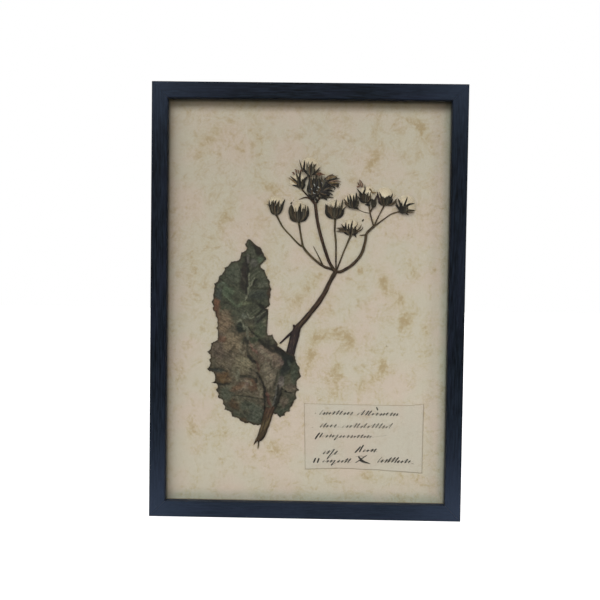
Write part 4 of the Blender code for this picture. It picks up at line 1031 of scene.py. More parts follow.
def add_leaf():
    """The leaf's piece, whose points are scattered within its toothed edge."""
    draw = np.random.default_rng(7)
    margin = toothed_margin(draw)
    low, high = margin.min(axis=0), margin.max(axis=0)
    x, z = np.meshgrid(np.arange(low[0], high[0], LEAF_CELL), np.arange(low[1], high[1], LEAF_CELL))
    stray = (-LEAF_SCATTER, LEAF_SCATTER)
    x, z = (axis.ravel() + draw.uniform(*stray, axis.size) * LEAF_CELL for axis in (x, z))
    kept = inside(margin, x, z)
    x, z = x[kept], z[kept]
    edge = np.concatenate([margin, margin[:1]])
    kept = line_distance(edge, x, z) > 0.6 * MARGIN_STEP
    flat = np.concatenate([margin, np.stack([x[kept], z[kept]], axis=-1)])
    rim = [list(range(len(margin)))]
    corners, _, faces, *_ = geometry.delaunay_2d_cdt([Vector(point) for point in flat], [], rim, 1, 1e-6)
    x, z = np.array([tuple(corner) for corner in corners]).T
    points = np.stack([x, SHEET_Y - leaf_front(x, z), z], axis=-1)
    leaf = mesh_piece("sow_thistle_leaf", points, [list(face) for face in faces], [leaf_finish()], 80)
    thickened(leaf, LEAF_THICKNESS)
    store(leaf, "tone", leaf_tone(x, z), "FLOAT_COLOR")
    side = np.sign(x - np.interp(z, *np.array(MIDRIB).T[::-1]))
    lean = math.radians(VEIN_LEAN)
    along = side * x * math.cos(lean) + z * math.sin(lean)
    across = z * math.cos(lean) - side * x * math.sin(lean)
    store(leaf, "grain", np.stack([along, across, 9 * side], axis=-1))
    wander = 1 + 0.9 * rumpled(x, z, 3, 31.5)
    browned = ease(1.15 - line_distance(edge, x, z) / (1.1 * wander + 0.2))
    store(leaf, "edge", LEAF_EDGE_BROWN * browned, "FLOAT")
    return leaf


leaf = add_leaf()
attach(leaf, "root")
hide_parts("leaf")


# Stem and branches: round and ridged in life, pressed to a flat oval. The foot is olive brown with
# torn fibres, the upper stem is purple black and the branches are brown. Each is a line of stops (x, z,
# half width).
STALK_LIFT = 0.35  # over the sheet
STEM_HALF_THICKNESS = 0.8
STEM_STEP = 0.7
STEM_UNEVEN = (2, 0.05)  # how often its width changes, and by what share
STEM_RIDGES = ((5, 0.07), (9, 0.04))  # how many, and how high as a share of its width
STEM = (
    (-33.8, -101.2, 1.4), (-33.1, -99.6, 2.1), (-31.6, -96.2, 2.7), (-29.5, -90, 2.9), (-28.1, -85, 3.1),
    (-26.9, -80.6, 3.2), (-25.4, -75.5, 3.2), (-20.9, -64.2, 3.1), (-16.9, -54, 3.1), (-13.6, -44.8, 3.1),
    (-11.6, -36.2, 3.1), (-9.8, -28.7, 3.1), (-8.1, -22, 3), (-6.6, -18.4, 2.3), (-4.2, -15.4, 1.85),
    (-1.4, -12.2, 1.75), (3.3, -6.3, 1.75), (8.1, 0, 1.7), (12.7, 7.6, 1.55), (16.2, 15.3, 1.4),
    (20.1, 22.3, 1.5), (20.6, 23.4, 0.9),
)
STEM_TWIGS = (
    ((-33.2, -97.4, 1.2), (-35.3, -100.6, 1), (-36.6, -102.8, 0.6), (-37.5, -104.5, 0.2)),
    ((-33.6, -99.4, 0.9), (-34.1, -103, 0.6), (-34.3, -106, 0.45), (-34.5, -107.6, 0.2)),
    ((-31.2, -96.4, 1.2), (-31.9, -99.6, 0.8), (-32, -101.3, 0.2)),
    ((-29.8, -94.6, 1), (-30.2, -97.6, 0.7), (-30.1, -99, 0.2)),
    ((-7, -18.4, 1), (-10.4, -21.4, 0.85), (-15.2, -26, 0.75), (-19.5, -30.2, 0.6)),
    ((-8.6, -21.6, 0.9), (-9.3, -18.4, 0.8), (-9.5, -16.3, 0.7)),
    ((20.1, 22.3, 1), (17.6, 24, 0.9), (14.3, 25.1, 0.9)),
    ((20.1, 22.3, 1.1), (18.2, 25, 1.1), (16.6, 27.3, 1.1)),
    ((20.3, 22.3, 0.6), (20.4, 25.5, 0.5), (20.3, 29, 0.5)),
    ((20.6, 22.3, 0.6), (21.9, 26.2, 0.5), (23.2, 29.8, 0.5)),
    ((20.1, 22.3, 1.1), (23.6, 22.4, 1.1), (26.2, 23.6, 1)),
)
BRANCHES = {
    "branch_left": (
        ((14.6, 25.1, 0.9), (11.6, 26, 0.9), (4.8, 30.9, 0.8), (-1.1, 36.7, 0.8), (-3.8, 40.4, 0.9)),
        (
            (-3.8, 40.4, 0.7), (-6.5, 41.7, 0.6), (-12.3, 47.6, 0.55), (-18.4, 54.2, 0.55),
            (-22.9, 62.4, 0.7),
        ),
        ((-3.8, 40.4, 0.75), (-5.6, 50, 0.65), (-6.8, 57.6, 0.85)),
        ((11.2, 26.3, 0.6), (7.8, 33.2, 0.4), (3.9, 40.4, 0.2)),
    ),
    "branch_middle": (
        ((16.8, 26.9, 1.1), (14.4, 32, 1.1), (9.8, 45.7, 1.1), (6.6, 58.2, 1.1), (4.6, 72, 1.1)),
        ((4.6, 70.6, 0.7), (2.6, 76.5, 0.5), (1.2, 84, 0.5), (0.2, 91.9, 0.6)),
        ((4.4, 70.8, 0.7), (-1.4, 77.4, 0.5), (-5.1, 81.5, 0.6)),
        ((4.8, 70.8, 0.7), (6.6, 73.2, 0.6), (8.1, 75.7, 0.7)),
        ((3.6, 73, 0.5), (-1.6, 75.6, 0.5), (-7.1, 74.1, 0.2)),
    ),
    "branch_right": (
        (
            (25.8, 23.4, 1), (32.2, 27.6, 1), (38.4, 35.1, 1), (41.1, 43.9, 0.95), (42, 49.8, 0.8),
            (44.3, 52.7, 0.9), (47.2, 55.4, 1),
        ),
        ((47.2, 55, 0.6), (45.8, 59.7, 0.5), (44.6, 64, 0.5), (43.1, 72, 0.6)),
        ((47.2, 55.2, 0.6), (50.7, 63.1, 0.42), (54.4, 70.3, 0.55)),
        ((46.8, 54.9, 0.6), (53.7, 60.2, 0.42), (60.2, 64.7, 0.42), (67.4, 66.5, 0.5)),
        ((44.6, 64.8, 0.3), (41, 65.4, 0.2), (37.4, 66.7, 0.2), (34.2, 68.4, 0.35)),
        ((44.4, 65.6, 0.6), (45.6, 67.8, 0.6), (46.6, 69.8, 0.7)),
        ((42.4, 49.3, 0.6), (39.6, 49, 0.4), (37.2, 48.9, 0.2)),
    ),
    "stalk_middle": (((20.3, 28.4, 0.55), (20, 43.6, 0.6), (19.1, 52, 0.65), (19.2, 60.4, 0.8)),),
    "stalk_low_right": (((23, 29.2, 0.55), (26.1, 37.6, 0.55), (30.8, 48.9, 0.8)),),
}

# A tone is (height, colour).
STEM_TONES = (
    (-107, paint(140, 130, 96)), (-104, paint(84, 66, 44)), (-101, paint(62, 46, 32)),
    (-96, paint(84, 68, 48)), (-88, paint(104, 88, 62)), (-80, paint(100, 74, 58)),
    (-60, paint(54, 44, 40)), (-38, paint(46, 36, 38)), (-22, paint(52, 38, 40)),
    (-16, paint(60, 43, 34)), (5, paint(70, 49, 38)), (25, paint(78, 60, 43)),
    (45, paint(102, 88, 63)), (95, paint(106, 90, 65)),
)
PLAIN = (1, 1, 1, 1)  # no tint
BRANCH_TINTS = {"branch_middle": (0.42, 0.28, 0.3, 1), "branch_right": (0.8, 0.72, 0.74, 1)}
PAINTED_SIDE_SHADE = 0.5  # painted shade: how much darker a stalk is where it turns down to the sheet


def pressed_tube(route, around, draw):
    """Rings round a flattened, ridged stalk, how far along and around each point is, and its painted shade.
    """
    line, run = evenly(smooth(route, 8), STEM_STEP)
    side = right_of(unit(np.gradient(line[:, :2], axis=0)))
    every, by = STEM_UNEVEN
    stations = np.arange(0, run[-1] + 2 * every, every)
    uneven = draw.normal(0, 1, int(run[-1] // every) + 3)[: len(stations)]
    wobble = 1 + by * np.interp(run, stations, uneven)
    angle = math.tau * np.arange(around) / around
    ridge = 1
    for count, height in STEM_RIDGES:
        ridge = ridge + height * np.cos(count * angle + draw.uniform(0, 6))
    half = (line[:, 2] * wobble)[:, None]
    across = half * np.cos(angle) * ridge
    thick = np.minimum(STEM_HALF_THICKNESS * np.tanh(half / STEM_HALF_THICKNESS), 0.85 * half)
    up = thick * np.sin(angle) * ridge
    x = line[:, :1] + across * side[:, :1]
    z = line[:, 1:2] + across * side[:, 1:]
    rings = np.stack([x, SHEET_Y - STALK_LIFT - thick - up, z], axis=-1)
    ran, turn = np.broadcast_arrays(run[:, None], angle)
    apart = np.full(ran.shape, draw.uniform(0, 50))
    marks = np.stack([ran, turn * np.maximum(half, 0.4), apart], axis=-1)
    return rings, marks, 1 - PAINTED_SIDE_SHADE * np.cos(turn) ** 4


def add_stalks(name, routes, around, draw, finish, tint=PLAIN):
    points, grain, painted_shading, faces = [], [], [], []
    for route in routes:
        rings, marks, side_shade = pressed_tube(route, around, draw)
        faces += skin(rings, sum(map(len, points)))
        points.append(rings.reshape(-1, 3))
        grain.append(marks.reshape(-1, 3))
        painted_shading.append(side_shade.ravel())
    points = np.concatenate(points)
    made = mesh_piece(name, points, faces, [finish], 70)
    store(made, "grain", np.concatenate(grain))
    levels, colors = zip(*STEM_TONES)
    tone = np.stack([np.interp(points[:, 2], levels, channel) for channel in zip(*colors)], axis=-1)
    store(made, "tone", tone * tint * np.concatenate(painted_shading)[:, None], "FLOAT_COLOR")
    return made


def stem_finish():
    material, tree, shader = new_finish("stem_brown", paint(64, 50, 37), 0.6)
    shader.inputs["Specular IOR Level"].default_value = 0.1
    grain = stored(tree, "grain")
    fibres = clouds(tree, stretched(tree, grain, (0.1, 1.1, 1)), detail=6, rough=0.7)
    blotch = clouds(tree, stretched(tree, grain, (0.35, 0.6, 1)), detail=4)
    tone = stored(tree, "tone", "Color")
    shade = laid(tree, band(tree, fibres, 0.32, 0.7), paint(112, 104, 98), paint(255, 255, 250))
    color = laid(tree, 1.0, tone, shade, "MULTIPLY")
    color = washed(tree, color, fibres, 0.56, 0.72, 0.6, paint(124, 102, 72))
    color = washed(tree, color, blotch, 0.52, 0.7, 0.5, paint(36, 27, 26))
    colored(tree, shader, color)
    bumpy(tree, shader, fibres, 0.25)
    return material


draw = np.random.default_rng(19)
stem_brown = stem_finish()
stem = add_stalks("main_stem", (STEM, *STEM_TWIGS), 20, draw, stem_brown)
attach(stem, "root")
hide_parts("stem")
for name, routes in BRANCHES.items():
    branch = add_stalks("dried_" + name, routes, 14, draw, stem_brown, BRANCH_TINTS.get(name, PLAIN))
    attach(branch, "root")
    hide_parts(name)


# Flower heads: each is a ribbed bowl of overlapping bracts that end in long points, gone dark and
# pressed flat, with a few shrivelled tips of brown and wine on some. A high head lies over a neighbour.
LOW_HEAD = 1.3  # over the sheet
HIGH_HEAD = 2.7
BOWL_HALF_THICKNESS = 0.5
BOWL_RIBS = 11
BOWL_POINTS = (40, 13)  # around and up
BLADE_LIFT = (0.15, 0.4)  # over the head's middle
BLADE_RISE = (-0.4, 0.2)  # from its foot to its tip
SPRAY_LIFT = (0.3, 0.8)
SPRAY_HALF_WIDTH = (0.5, 1)
SCALES_PER_MM = 2.4  # small bracts over a bowl, for each millimetre of its half width
SCALE_HALF_WIDTH = (0.45, 0.75)
SCALE_REACH = (0.7, 1.7)
BRACT_THICKNESS = 0.34
BRACT_STEP = 0.6
BRACT_WIDTHS = ((0, 0.6), (0.3, 1), (0.6, 0.84), (0.85, 0.5), (1, 0.08))
BRACT_SECTION = ((-1, 0), (-0.5, 0.42), (0, 0.75), (0.5, 0.42), (1, 0), (0, -0.35))
BRACT_PAINTED_SHADING = (0.4, 0.85, 1.8, 0.8, 0.35, 0.4)  # painted highlight on the keel, painted shade at the edges

DARK = paint(32, 28, 23)
OLIVE = paint(63, 56, 43)
BROWN = paint(82, 68, 52)
PURPLE = paint(56, 43, 44)
GREY = paint(86, 80, 69)
TAN = paint(130, 108, 78)
REDDISH = paint(108, 76, 61)
WINE = paint(126, 103, 89)
INKY = paint(38, 37, 39)
GLINT = paint(168, 168, 167)
GLINT_LIFT = 0.9  # over the tangle of bracts, and still behind the glass
SCALE_SHADES = (DARK, OLIVE, GREY, DARK, DARK, BROWN)
SPRAY_SHADES = (DARK, INKY, DARK, DARK, INKY, GREY, BROWN)

# Two overripe heads have a tangle of bracts. A spray of them is (x, z, first and last degrees from the
# right, shortest and longest reach, number of bracts).
SPRAYS = {
    5: ((2.8, 76.6, 62, 108, 8, 13.2, 16), (2.6, 78, 110, 170, 2.5, 4.2, 8)),
    6: ((8, 78, 40, 92, 8, 12.6, 26), (8.6, 79.6, -22, 44, 5, 10.4, 26)),
}

# A head is (whether it lies high, its base, its bowls, its blades). A bowl is (x, z, half width, half
# height), and a blade is a bract: (colour, half width, its stops).
HEADS = {
    1: (False, (-23.1, 62.6), ((-23.6, 66.2, 4.1, 3.4), (-23.3, 62.9, 0.9, 0.8)), (
        (BROWN, 0.5, (-26, 65.6), (-28.4, 69.4), (-30.6, 70.2)),
        (DARK, 0.7, (-25.4, 64.4), (-28.1, 69.2), (-28.4, 73.8)),
        (DARK, 1.1, (-22.8, 63.4), (-19.9, 66.6), (-19, 69.6), (-17, 74.2)),
        (OLIVE, 1.2, (-24.4, 63.4), (-27, 67.2), (-26.4, 70.6), (-25.2, 73.6)),
        (OLIVE, 1.3, (-23.4, 63.2), (-22.4, 67.8), (-21.7, 71), (-21.2, 73.4)),
        (DARK, 1, (-24, 63.4), (-24.9, 67.6), (-24.2, 71), (-23.2, 73.8)))),
    2: (False, (-6.4, 57.8), ((-7.3, 61.6, 6.4, 3.9), (-6.8, 58.2, 1.2, 0.9)), (
        (DARK, 1.7, (-10.4, 60.4), (-11.6, 65.2), (-12.3, 70.2)),
        (OLIVE, 1.9, (-8, 58.6), (-12.2, 63), (-13.1, 67), (-12.4, 70.4)),
        (DARK, 1.1, (-5, 58.6), (-0.9, 62.5), (-0.4, 66.5), (-0.8, 69.8)),
        (BROWN, 1, (-7.5, 59), (-10.2, 62.5), (-10.6, 66.4)),
        (BROWN, 1, (-5.5, 58.8), (-2.4, 62.5), (-2.3, 67), (-2.3, 70.4)),
        (OLIVE, 1.3, (-7, 59), (-7.4, 63), (-6.6, 67), (-6, 70.6)),
        (DARK, 0.9, (-6, 59), (-4.2, 64), (-4.5, 67.8)),
        (DARK, 0.9, (-6.6, 59), (-6.2, 64), (-5.9, 68), (-5.6, 71.5)))),
    3: (False, (-5.2, 81.6), ((-5.8, 84.5, 3.1, 2.6), (-4.6, 82.4, 0.9, 0.9)), (
        (DARK, 0.8, (-6, 83), (-9, 83.8), (-12.2, 84.4)),
        (TAN, 0.6, (-8, 84.6), (-12, 87.8), (-15.2, 89.8)),
        (DARK, 0.8, (-6, 84), (-9.5, 87.3), (-13.6, 90.8)),
        (OLIVE, 0.9, (-6.5, 85), (-8, 89), (-9.4, 93.5)),
        (DARK, 0.8, (-6, 85), (-6.7, 89.5), (-6.2, 93.5), (-5.2, 95.6)),
        (DARK, 1.2, (-5, 84), (-3.6, 87.5), (-1.8, 89.8), (-0.6, 90.6)),
        (REDDISH, 0.6, (-10.4, 91.8), (-11.6, 93.4), (-12.6, 93)),
        (REDDISH, 0.6, (-9.2, 93.2), (-9.4, 95.2), (-10.6, 95.4)),
        (WINE, 0.5, (-7.8, 92.6), (-7.6, 94.6), (-8.4, 95.6)),
        (REDDISH, 0.6, (-6.4, 93.4), (-5.4, 95.4), (-4.2, 95.8)))),
    4: (True, (0.1, 90.7), ((1.2, 94.4, 3.3, 3.2), (-0.3, 91.2, 1.1, 1)), (
        (OLIVE, 0.5, (-4.4, 93.4), (-6, 98.6), (-7.2, 102.5)),
        (DARK, 0.9, (-1, 92), (-3.6, 95.5), (-3.4, 99), (-3.3, 102.3)),
        (GREY, 0.6, (-0.5, 93), (-1, 97), (-0.4, 101.2)),
        (DARK, 0.9, (1, 93), (1.2, 97), (2.3, 101.2)),
        (OLIVE, 0.9, (2, 93), (3.2, 96.5), (5.2, 99.8)),
        (DARK, 0.8, (2.5, 91.8), (5, 93.3), (7.6, 97.2)),
        (BROWN, 0.6, (0.6, 92.6), (0.4, 95.6), (0.8, 98.4)),
        (REDDISH, 0.7, (5.4, 91.8), (7.8, 93), (9.4, 92.6)),
        (REDDISH, 0.6, (6.8, 91), (9, 92.2), (11.8, 91.6)),
        (BROWN, 0.6, (4.6, 91), (6.4, 93.8), (8.4, 95.2)))),
    5: (True, (4.4, 73.5), ((2.3, 81.4, 2.6, 6), (2.8, 77.6, 3.2, 3.2)), (
        (DARK, 0.8, (2.6, 77), (-0.6, 80), (-0.9, 84.6)),
        (OLIVE, 1, (2, 76.6), (0, 82), (0.3, 88.8)),
        (DARK, 1.2, (3, 76), (1.6, 83), (1.7, 89.6)),
        (BROWN, 0.8, (4, 77), (5.3, 83), (5.4, 88.8)),
        (DARK, 1.2, (3.6, 76), (3.8, 84), (3.3, 90.7)),
        (DARK, 0.9, (4, 75.4), (5.6, 73.8), (7, 71.6)),
        (DARK, 0.8, (3, 75.6), (1, 76.6), (-0.2, 78.6)),
        (GLINT, 0.4, (3.4, 85.2), (4.2, 84.2), (4.4, 82.8)),
        (GLINT, 0.4, (3, 79), (4, 78.2), (5, 78.4)),
        (GLINT, 0.35, (6.4, 83.4), (7, 82.4), (8, 82.4)),
        (GLINT, 0.35, (5.6, 80.9), (6, 80.6), (6.4, 80)),
        (GLINT, 0.35, (9.2, 86.6), (9.4, 86), (9.8, 85.4)),
        (GLINT, 0.35, (1.6, 82), (2, 81.6), (2.4, 81)))),
    6: (False, (8.1, 75.6), ((8.4, 81.4, 3.8, 6.2), (10.6, 77.8, 4.4, 3)), (
        (OLIVE, 1.1, (6, 80), (6.2, 86), (7.1, 90.2)),
        (DARK, 1.1, (8, 80), (8.6, 86), (9.4, 89.6)),
        (BROWN, 0.9, (9.5, 82), (10.8, 86.5), (11.8, 90.2)),
        (GREY, 1, (11.4, 82.4), (13, 86.4), (14, 89.2)),
        (BROWN, 0.6, (11, 88.6), (15.5, 91.6), (19, 91.2)),
        (TAN, 0.45, (12.6, 89.2), (16.6, 90.6), (20.4, 90)),
        (DARK, 0.7, (12.4, 87.6), (17.5, 88.4), (20.5, 90.6)),
        (DARK, 0.7, (12.6, 85.9), (17, 86.6), (20.4, 88.6)),
        (BROWN, 0.5, (12, 86.8), (16.6, 87.4), (21.2, 88.4)),
        (DARK, 0.7, (12, 85), (18, 85.3), (22, 86)),
        (WINE, 0.6, (12.4, 88.4), (15, 91.2), (17.6, 92.8)),
        (TAN, 0.5, (13, 88.2), (17.4, 90.6), (21.4, 91.4)),
        (BROWN, 0.5, (13.4, 87.6), (18.6, 89.2), (22.6, 89.6)),
        (WINE, 0.7, (13.8, 86.8), (19.4, 87.8), (23.4, 87)),
        (TAN, 0.5, (14, 86), (19.8, 86.2), (23.4, 85)),
        (BROWN, 0.5, (13.6, 85), (18.4, 84.4), (22.2, 83)),
        (DARK, 0.9, (20.4, 83), (20.8, 85), (20.6, 86.5)),
        (DARK, 0.6, (12.6, 83.4), (16, 83.6), (18.9, 82.4), (17.6, 80.8)),
        (BROWN, 0.5, (12.4, 82.4), (15.4, 82.2), (17.4, 81.6)),
        (DARK, 0.7, (12.4, 80.8), (16.2, 80.7), (18.4, 80)),
        (DARK, 0.6, (12.4, 78.8), (16, 78.4), (17.6, 77.2)),
        (OLIVE, 0.6, (12, 76.8), (15.5, 75.9), (18.2, 75.9)),
        (DARK, 1, (10.4, 76.4), (12.2, 75), (13.2, 73.6)),
        (GREY, 0.5, (5.7, 81.2), (6.4, 80.6), (6.9, 80)),
        (GREY, 0.4, (5.7, 78.5), (6.2, 78.2), (6.6, 77.8)))),
    7: (False, (19.3, 60.4), ((18.6, 64.5, 6.2, 4.1), (19.3, 60.9, 1.1, 0.9)), (
        (DARK, 1.2, (17.5, 61), (13.3, 64), (12.8, 68), (12.2, 71.4)),
        (OLIVE, 0.9, (20.6, 61), (23, 65), (23.8, 69.5), (24.6, 74.9)),
        (DARK, 0.9, (21, 61), (24.4, 64), (25.3, 67.5), (27.4, 69.6)),
        (BROWN, 1, (18, 61), (15, 65), (14.2, 68.6), (13, 70.8)),
        (DARK, 1, (20, 61.2), (21.3, 65.5), (21, 69.4)),
        (GREY, 1, (18.6, 61.2), (16.4, 65.5), (16.6, 69)),
        (OLIVE, 1.1, (19.3, 61), (19, 66), (19.4, 70), (20, 74.5)))),
    8: (False, (30.9, 48.9), ((30.6, 51, 4.9, 2.2),), (
        (BROWN, 0.9, (29, 51), (25, 51.8), (20.1, 51.5)),
        (BROWN, 0.9, (29, 52.5), (25, 53.5), (20.2, 53.8)),
        (OLIVE, 0.8, (28.6, 51.8), (25, 52.8), (21.6, 52.8)),
        (DARK, 0.8, (29, 51.5), (26, 54), (23.6, 56.8)),
        (DARK, 0.8, (29.5, 51), (27, 54), (27.1, 58.2)),
        (DARK, 0.7, (30, 51), (28.9, 54.5), (29.2, 57.2)),
        (DARK, 0.8, (31, 51), (30.9, 54.5), (31.9, 59.8)),
        (OLIVE, 0.4, (32, 51), (33.2, 54), (35, 56), (35.4, 58.4)),
        (BROWN, 0.5, (33, 51), (36, 53), (37.6, 55), (38.3, 57)),
        (BROWN, 0.5, (33, 50.5), (37, 52), (39.2, 54), (39, 55.6)),
        (GREY, 0.8, (31, 51.6), (32.6, 52.6), (34, 52.4)),
        (DARK, 0.7, (33, 50), (34.3, 48), (34.8, 47.2)))),
    9: (True, (33.7, 68), ((31.7, 70.6, 4, 2.6), (33.4, 68.6, 1.2, 0.9)), (
        (BROWN, 0.8, (29, 70), (26.8, 72.5), (25.2, 75)),
        (OLIVE, 0.7, (29, 69.5), (27, 70.8), (25.5, 72.6)),
        (DARK, 0.8, (30, 71), (28.4, 74), (27.9, 77.2)),
        (DARK, 0.8, (31, 71.5), (30.2, 75), (29.4, 78.2)),
        (DARK, 0.8, (32.5, 71.6), (32.3, 75), (32.1, 77.8)),
        (DARK, 1, (34, 71), (34.3, 75), (34, 79.6)),
        (OLIVE, 0.8, (33.8, 69.6), (35.6, 71.5), (35.8, 74)),
        (GREY, 0.7, (30.2, 70.6), (31, 71.6), (31.4, 73)),
        (DARK, 0.6, (33.6, 68.9), (35.3, 68.2), (36.2, 68.2)))),
    10: (False, (42.9, 71.9), ((40.6, 74.8, 4, 2.9), (42.8, 72.4, 1, 0.9)), (
        (DARK, 0.9, (41, 72.5), (37.6, 74), (35.4, 76.7)),
        (DARK, 0.8, (41, 74), (37.8, 78.5), (35.4, 81.3), (34.4, 82.6)),
        (DARK, 0.8, (41, 74), (39.6, 79), (40.4, 82), (40.2, 85.2)),
        (OLIVE, 0.8, (40, 74), (37, 77), (36.4, 79.6)),
        (DARK, 0.7, (42, 73.5), (42.1, 77.5), (43.1, 80.2)),
        (OLIVE, 0.7, (41.4, 73.5), (41, 77), (41.3, 79.6)),
        (BROWN, 0.6, (43, 73), (44.3, 76), (44.4, 79.8)),
        (WINE, 1.2, (38.4, 83.4), (37.4, 86.4), (36.2, 88.8)),
        (REDDISH, 0.6, (34.3, 83.6), (35.6, 83.7), (36.8, 84.6)),
        (REDDISH, 0.5, (36.4, 84.6), (35.4, 86), (35.2, 87.2)),
        (TAN, 0.6, (43.4, 82.4), (44.6, 81.4), (45.6, 80.4)),
        (TAN, 0.6, (44.6, 80.2), (46.4, 79.6), (48.8, 79.7)),
        (DARK, 0.6, (44.4, 70.6), (42, 71), (40.3, 70.8)))),
    11: (True, (46.1, 68.7), ((46.7, 71.6, 1.9, 2.9),), (
        (PURPLE, 0.9, (46.6, 70.6), (48.2, 75.5), (49.5, 78.5)),
        (DARK, 0.8, (46, 69.6), (45.4, 72.4), (45.8, 75.2)),
        (OLIVE, 0.9, (46.6, 69.4), (47.4, 72.4), (47.8, 75.4)))),
    12: (False, (54.5, 70.4), ((54.8, 73, 4.1, 2.8), (57, 73.8, 2.6, 3.3)), (
        (PURPLE, 1, (54, 71), (50.5, 75), (49.2, 80.6)),
        (PURPLE, 0.9, (54.5, 72), (52.3, 76), (50.6, 80.4)),
        (DARK, 0.9, (53.8, 70.8), (51, 72.6), (50.2, 75.4)),
        (OLIVE, 0.9, (55, 71), (54, 74.4), (53.4, 77.2)),
        (OLIVE, 1.1, (56.6, 71), (57, 74.6), (57.6, 77.8)),
        (DARK, 0.8, (57.4, 72), (59.2, 76), (60.4, 79.4)),
        (DARK, 0.8, (57.6, 71.2), (59.6, 73.6), (60.4, 75.6)),
        (BROWN, 0.9, (57, 70.6), (60, 71.5), (62, 73.5), (62.6, 75.3)),
        (WINE, 0.7, (59.6, 70.8), (61, 72.4), (62.2, 72.6)))),
    13: (True, (67, 66.5), ((68.3, 67.2, 3.4, 2.6),), (
        (GREY, 0.6, (65, 67), (63.6, 70.5), (62.6, 73.5), (63.6, 76)),
        (DARK, 0.8, (66.8, 68.6), (65.4, 72.5), (63.9, 75.6)),
        (DARK, 0.8, (62.4, 71), (65, 68.5), (67, 66.5)),
        (DARK, 0.7, (68, 69), (69.4, 72.5), (70.9, 76.9)),
        (DARK, 0.8, (69, 69), (72, 71.3), (76.2, 72.2)),
        (OLIVE, 0.9, (70, 67.5), (73, 67), (76.6, 67.2)),
        (DARK, 0.7, (67.4, 68.6), (66.8, 71), (67, 73)),
        (BROWN, 0.5, (69, 65.6), (73, 65.4), (76, 65.3)),
        (DARK, 0.6, (69, 65.6), (71, 64.4), (71.9, 63.4)))),
}


def blade_rings(line, half_width, start_height, end_height):
    """Rings round a pointed blade with a keel on its front."""
    line, run = evenly(smooth(line, 5), BRACT_STEP)
    share = run / run[-1]
    half = half_width * np.interp(share, *zip(*BRACT_WIDTHS))
    side = right_of(unit(np.gradient(line, axis=0)))
    across, up = np.array(BRACT_SECTION).T
    thick = BRACT_THICKNESS * (0.25 + 0.75 * half / half_width)
    height = (start_height + (end_height - start_height) * share)[:, None] + thick[:, None] * up
    reach = half[:, None] * across
    x = line[:, :1] + reach * side[:, :1]
    z = line[:, 1:] + reach * side[:, 1:]
    return np.stack([x, SHEET_Y - height, z], axis=-1)


def bowl_rings(x, z, half_width, half_height, middle):
    """Rings round a flattened bowl with ribs up it."""
    around, levels = BOWL_POINTS
    angle = math.tau * np.arange(around) / around
    turn = np.linspace(-0.5 * math.pi, 0.5 * math.pi, levels)[1:-1]
    half = half_width * np.cos(turn) ** 0.8
    rib = 1 + 0.05 * np.cos(BOWL_RIBS * angle)
    up = np.tanh(2.2 * half / half_width)[:, None] * BOWL_HALF_THICKNESS * np.sin(angle) * rib
    rise = np.broadcast_to((z + half_height * np.sin(turn))[:, None], up.shape)
    return np.stack([x + half[:, None] * np.cos(angle) * rib, SHEET_Y - middle - up, rise], axis=-1)


class Bunch:
    """Blades and bowls gathered into one mesh, each point with its colour."""

    def __init__(self):
        self.points, self.faces, self.tones = [], [], []

    def add(self, rings, color, painted_shading=1.0):
        """Adds rings in one colour, times a painted shading for each place round them."""
        self.faces += skin(rings, sum(map(len, self.points)))
        self.points.append(rings.reshape(-1, 3))
        tone = np.ones((*rings.shape[:2], 4))
        tone[..., :3] = np.multiply.outer(np.broadcast_to(painted_shading, rings.shape[1]), color[:3])
        self.tones.append(tone.reshape(-1, 4))

    def piece(self, name, finish):
        made = mesh_piece(name, np.concatenate(self.points), self.faces, [finish], 50)
        store(made, "tone", np.concatenate(self.tones), "FLOAT_COLOR")
        return made


def add_head(number, finish):
    """A head's bowls and its bracts: the long ones, the tangled ones and the small ones over its bowl."""
    high, _, bowls, blades = HEADS[number]
    draw = np.random.default_rng(100 + number)
    middle = HIGH_HEAD if high else LOW_HEAD
    bunch = Bunch()
    for x, z, half_width, half_height in bowls:
        bunch.add(bowl_rings(x, z, half_width, half_height, middle), DARK)
    for color, half_width, *line in blades:
        lift = middle + draw.uniform(*BLADE_LIFT)
        rise = draw.uniform(*BLADE_RISE)
        if color == GLINT:
            lift, rise = middle + GLINT_LIFT, 0
        rings = blade_rings(line, half_width, lift, lift + rise)
        bunch.add(rings, color, BRACT_PAINTED_SHADING)
    for x, z, first, last, shortest, longest, count in SPRAYS.get(number, ()):
        for angle in np.radians(draw.uniform(first, last, count)):
            way = np.array([math.cos(angle), math.sin(angle)]) * draw.uniform(shortest, longest)
            start = np.array([x, z]) + draw.normal(0, 0.7, 2)
            bend = start + 0.5 * way + draw.normal(0, 0.5, 2)
            lift = middle + draw.uniform(*SPRAY_LIFT)
            rings = blade_rings((start, bend, start + way), draw.uniform(*SPRAY_HALF_WIDTH), lift, lift)
            bunch.add(rings, SPRAY_SHADES[draw.integers(len(SPRAY_SHADES))], BRACT_PAINTED_SHADING)
    x, z, half_width, half_height = bowls[0]
    for place in draw.permutation(np.linspace(-0.8, 0.8, round(half_width * SCALES_PER_MM))):
        place += draw.uniform(-0.08, 0.08)
        foot = (x + 0.25 * place * half_width, z - 0.92 * half_height)
        side = (x + 0.9 * place * half_width, z - 0.2 * (1 - abs(place)) * half_height)
        reach = draw.uniform(*SCALE_REACH) + 0.5 * abs(place)
        tip = (x + 1.05 * place * half_width + draw.normal(0, 0.3), z + reach * half_height)
        lift = middle + 0.45 - 0.25 * abs(place)
        rings = blade_rings((foot, side, tip), draw.uniform(*SCALE_HALF_WIDTH), lift, lift + 0.05)
        bunch.add(rings, SCALE_SHADES[draw.integers(len(SCALE_SHADES))], BRACT_PAINTED_SHADING)
    return bunch.piece(f"bracts_{number}", finish)


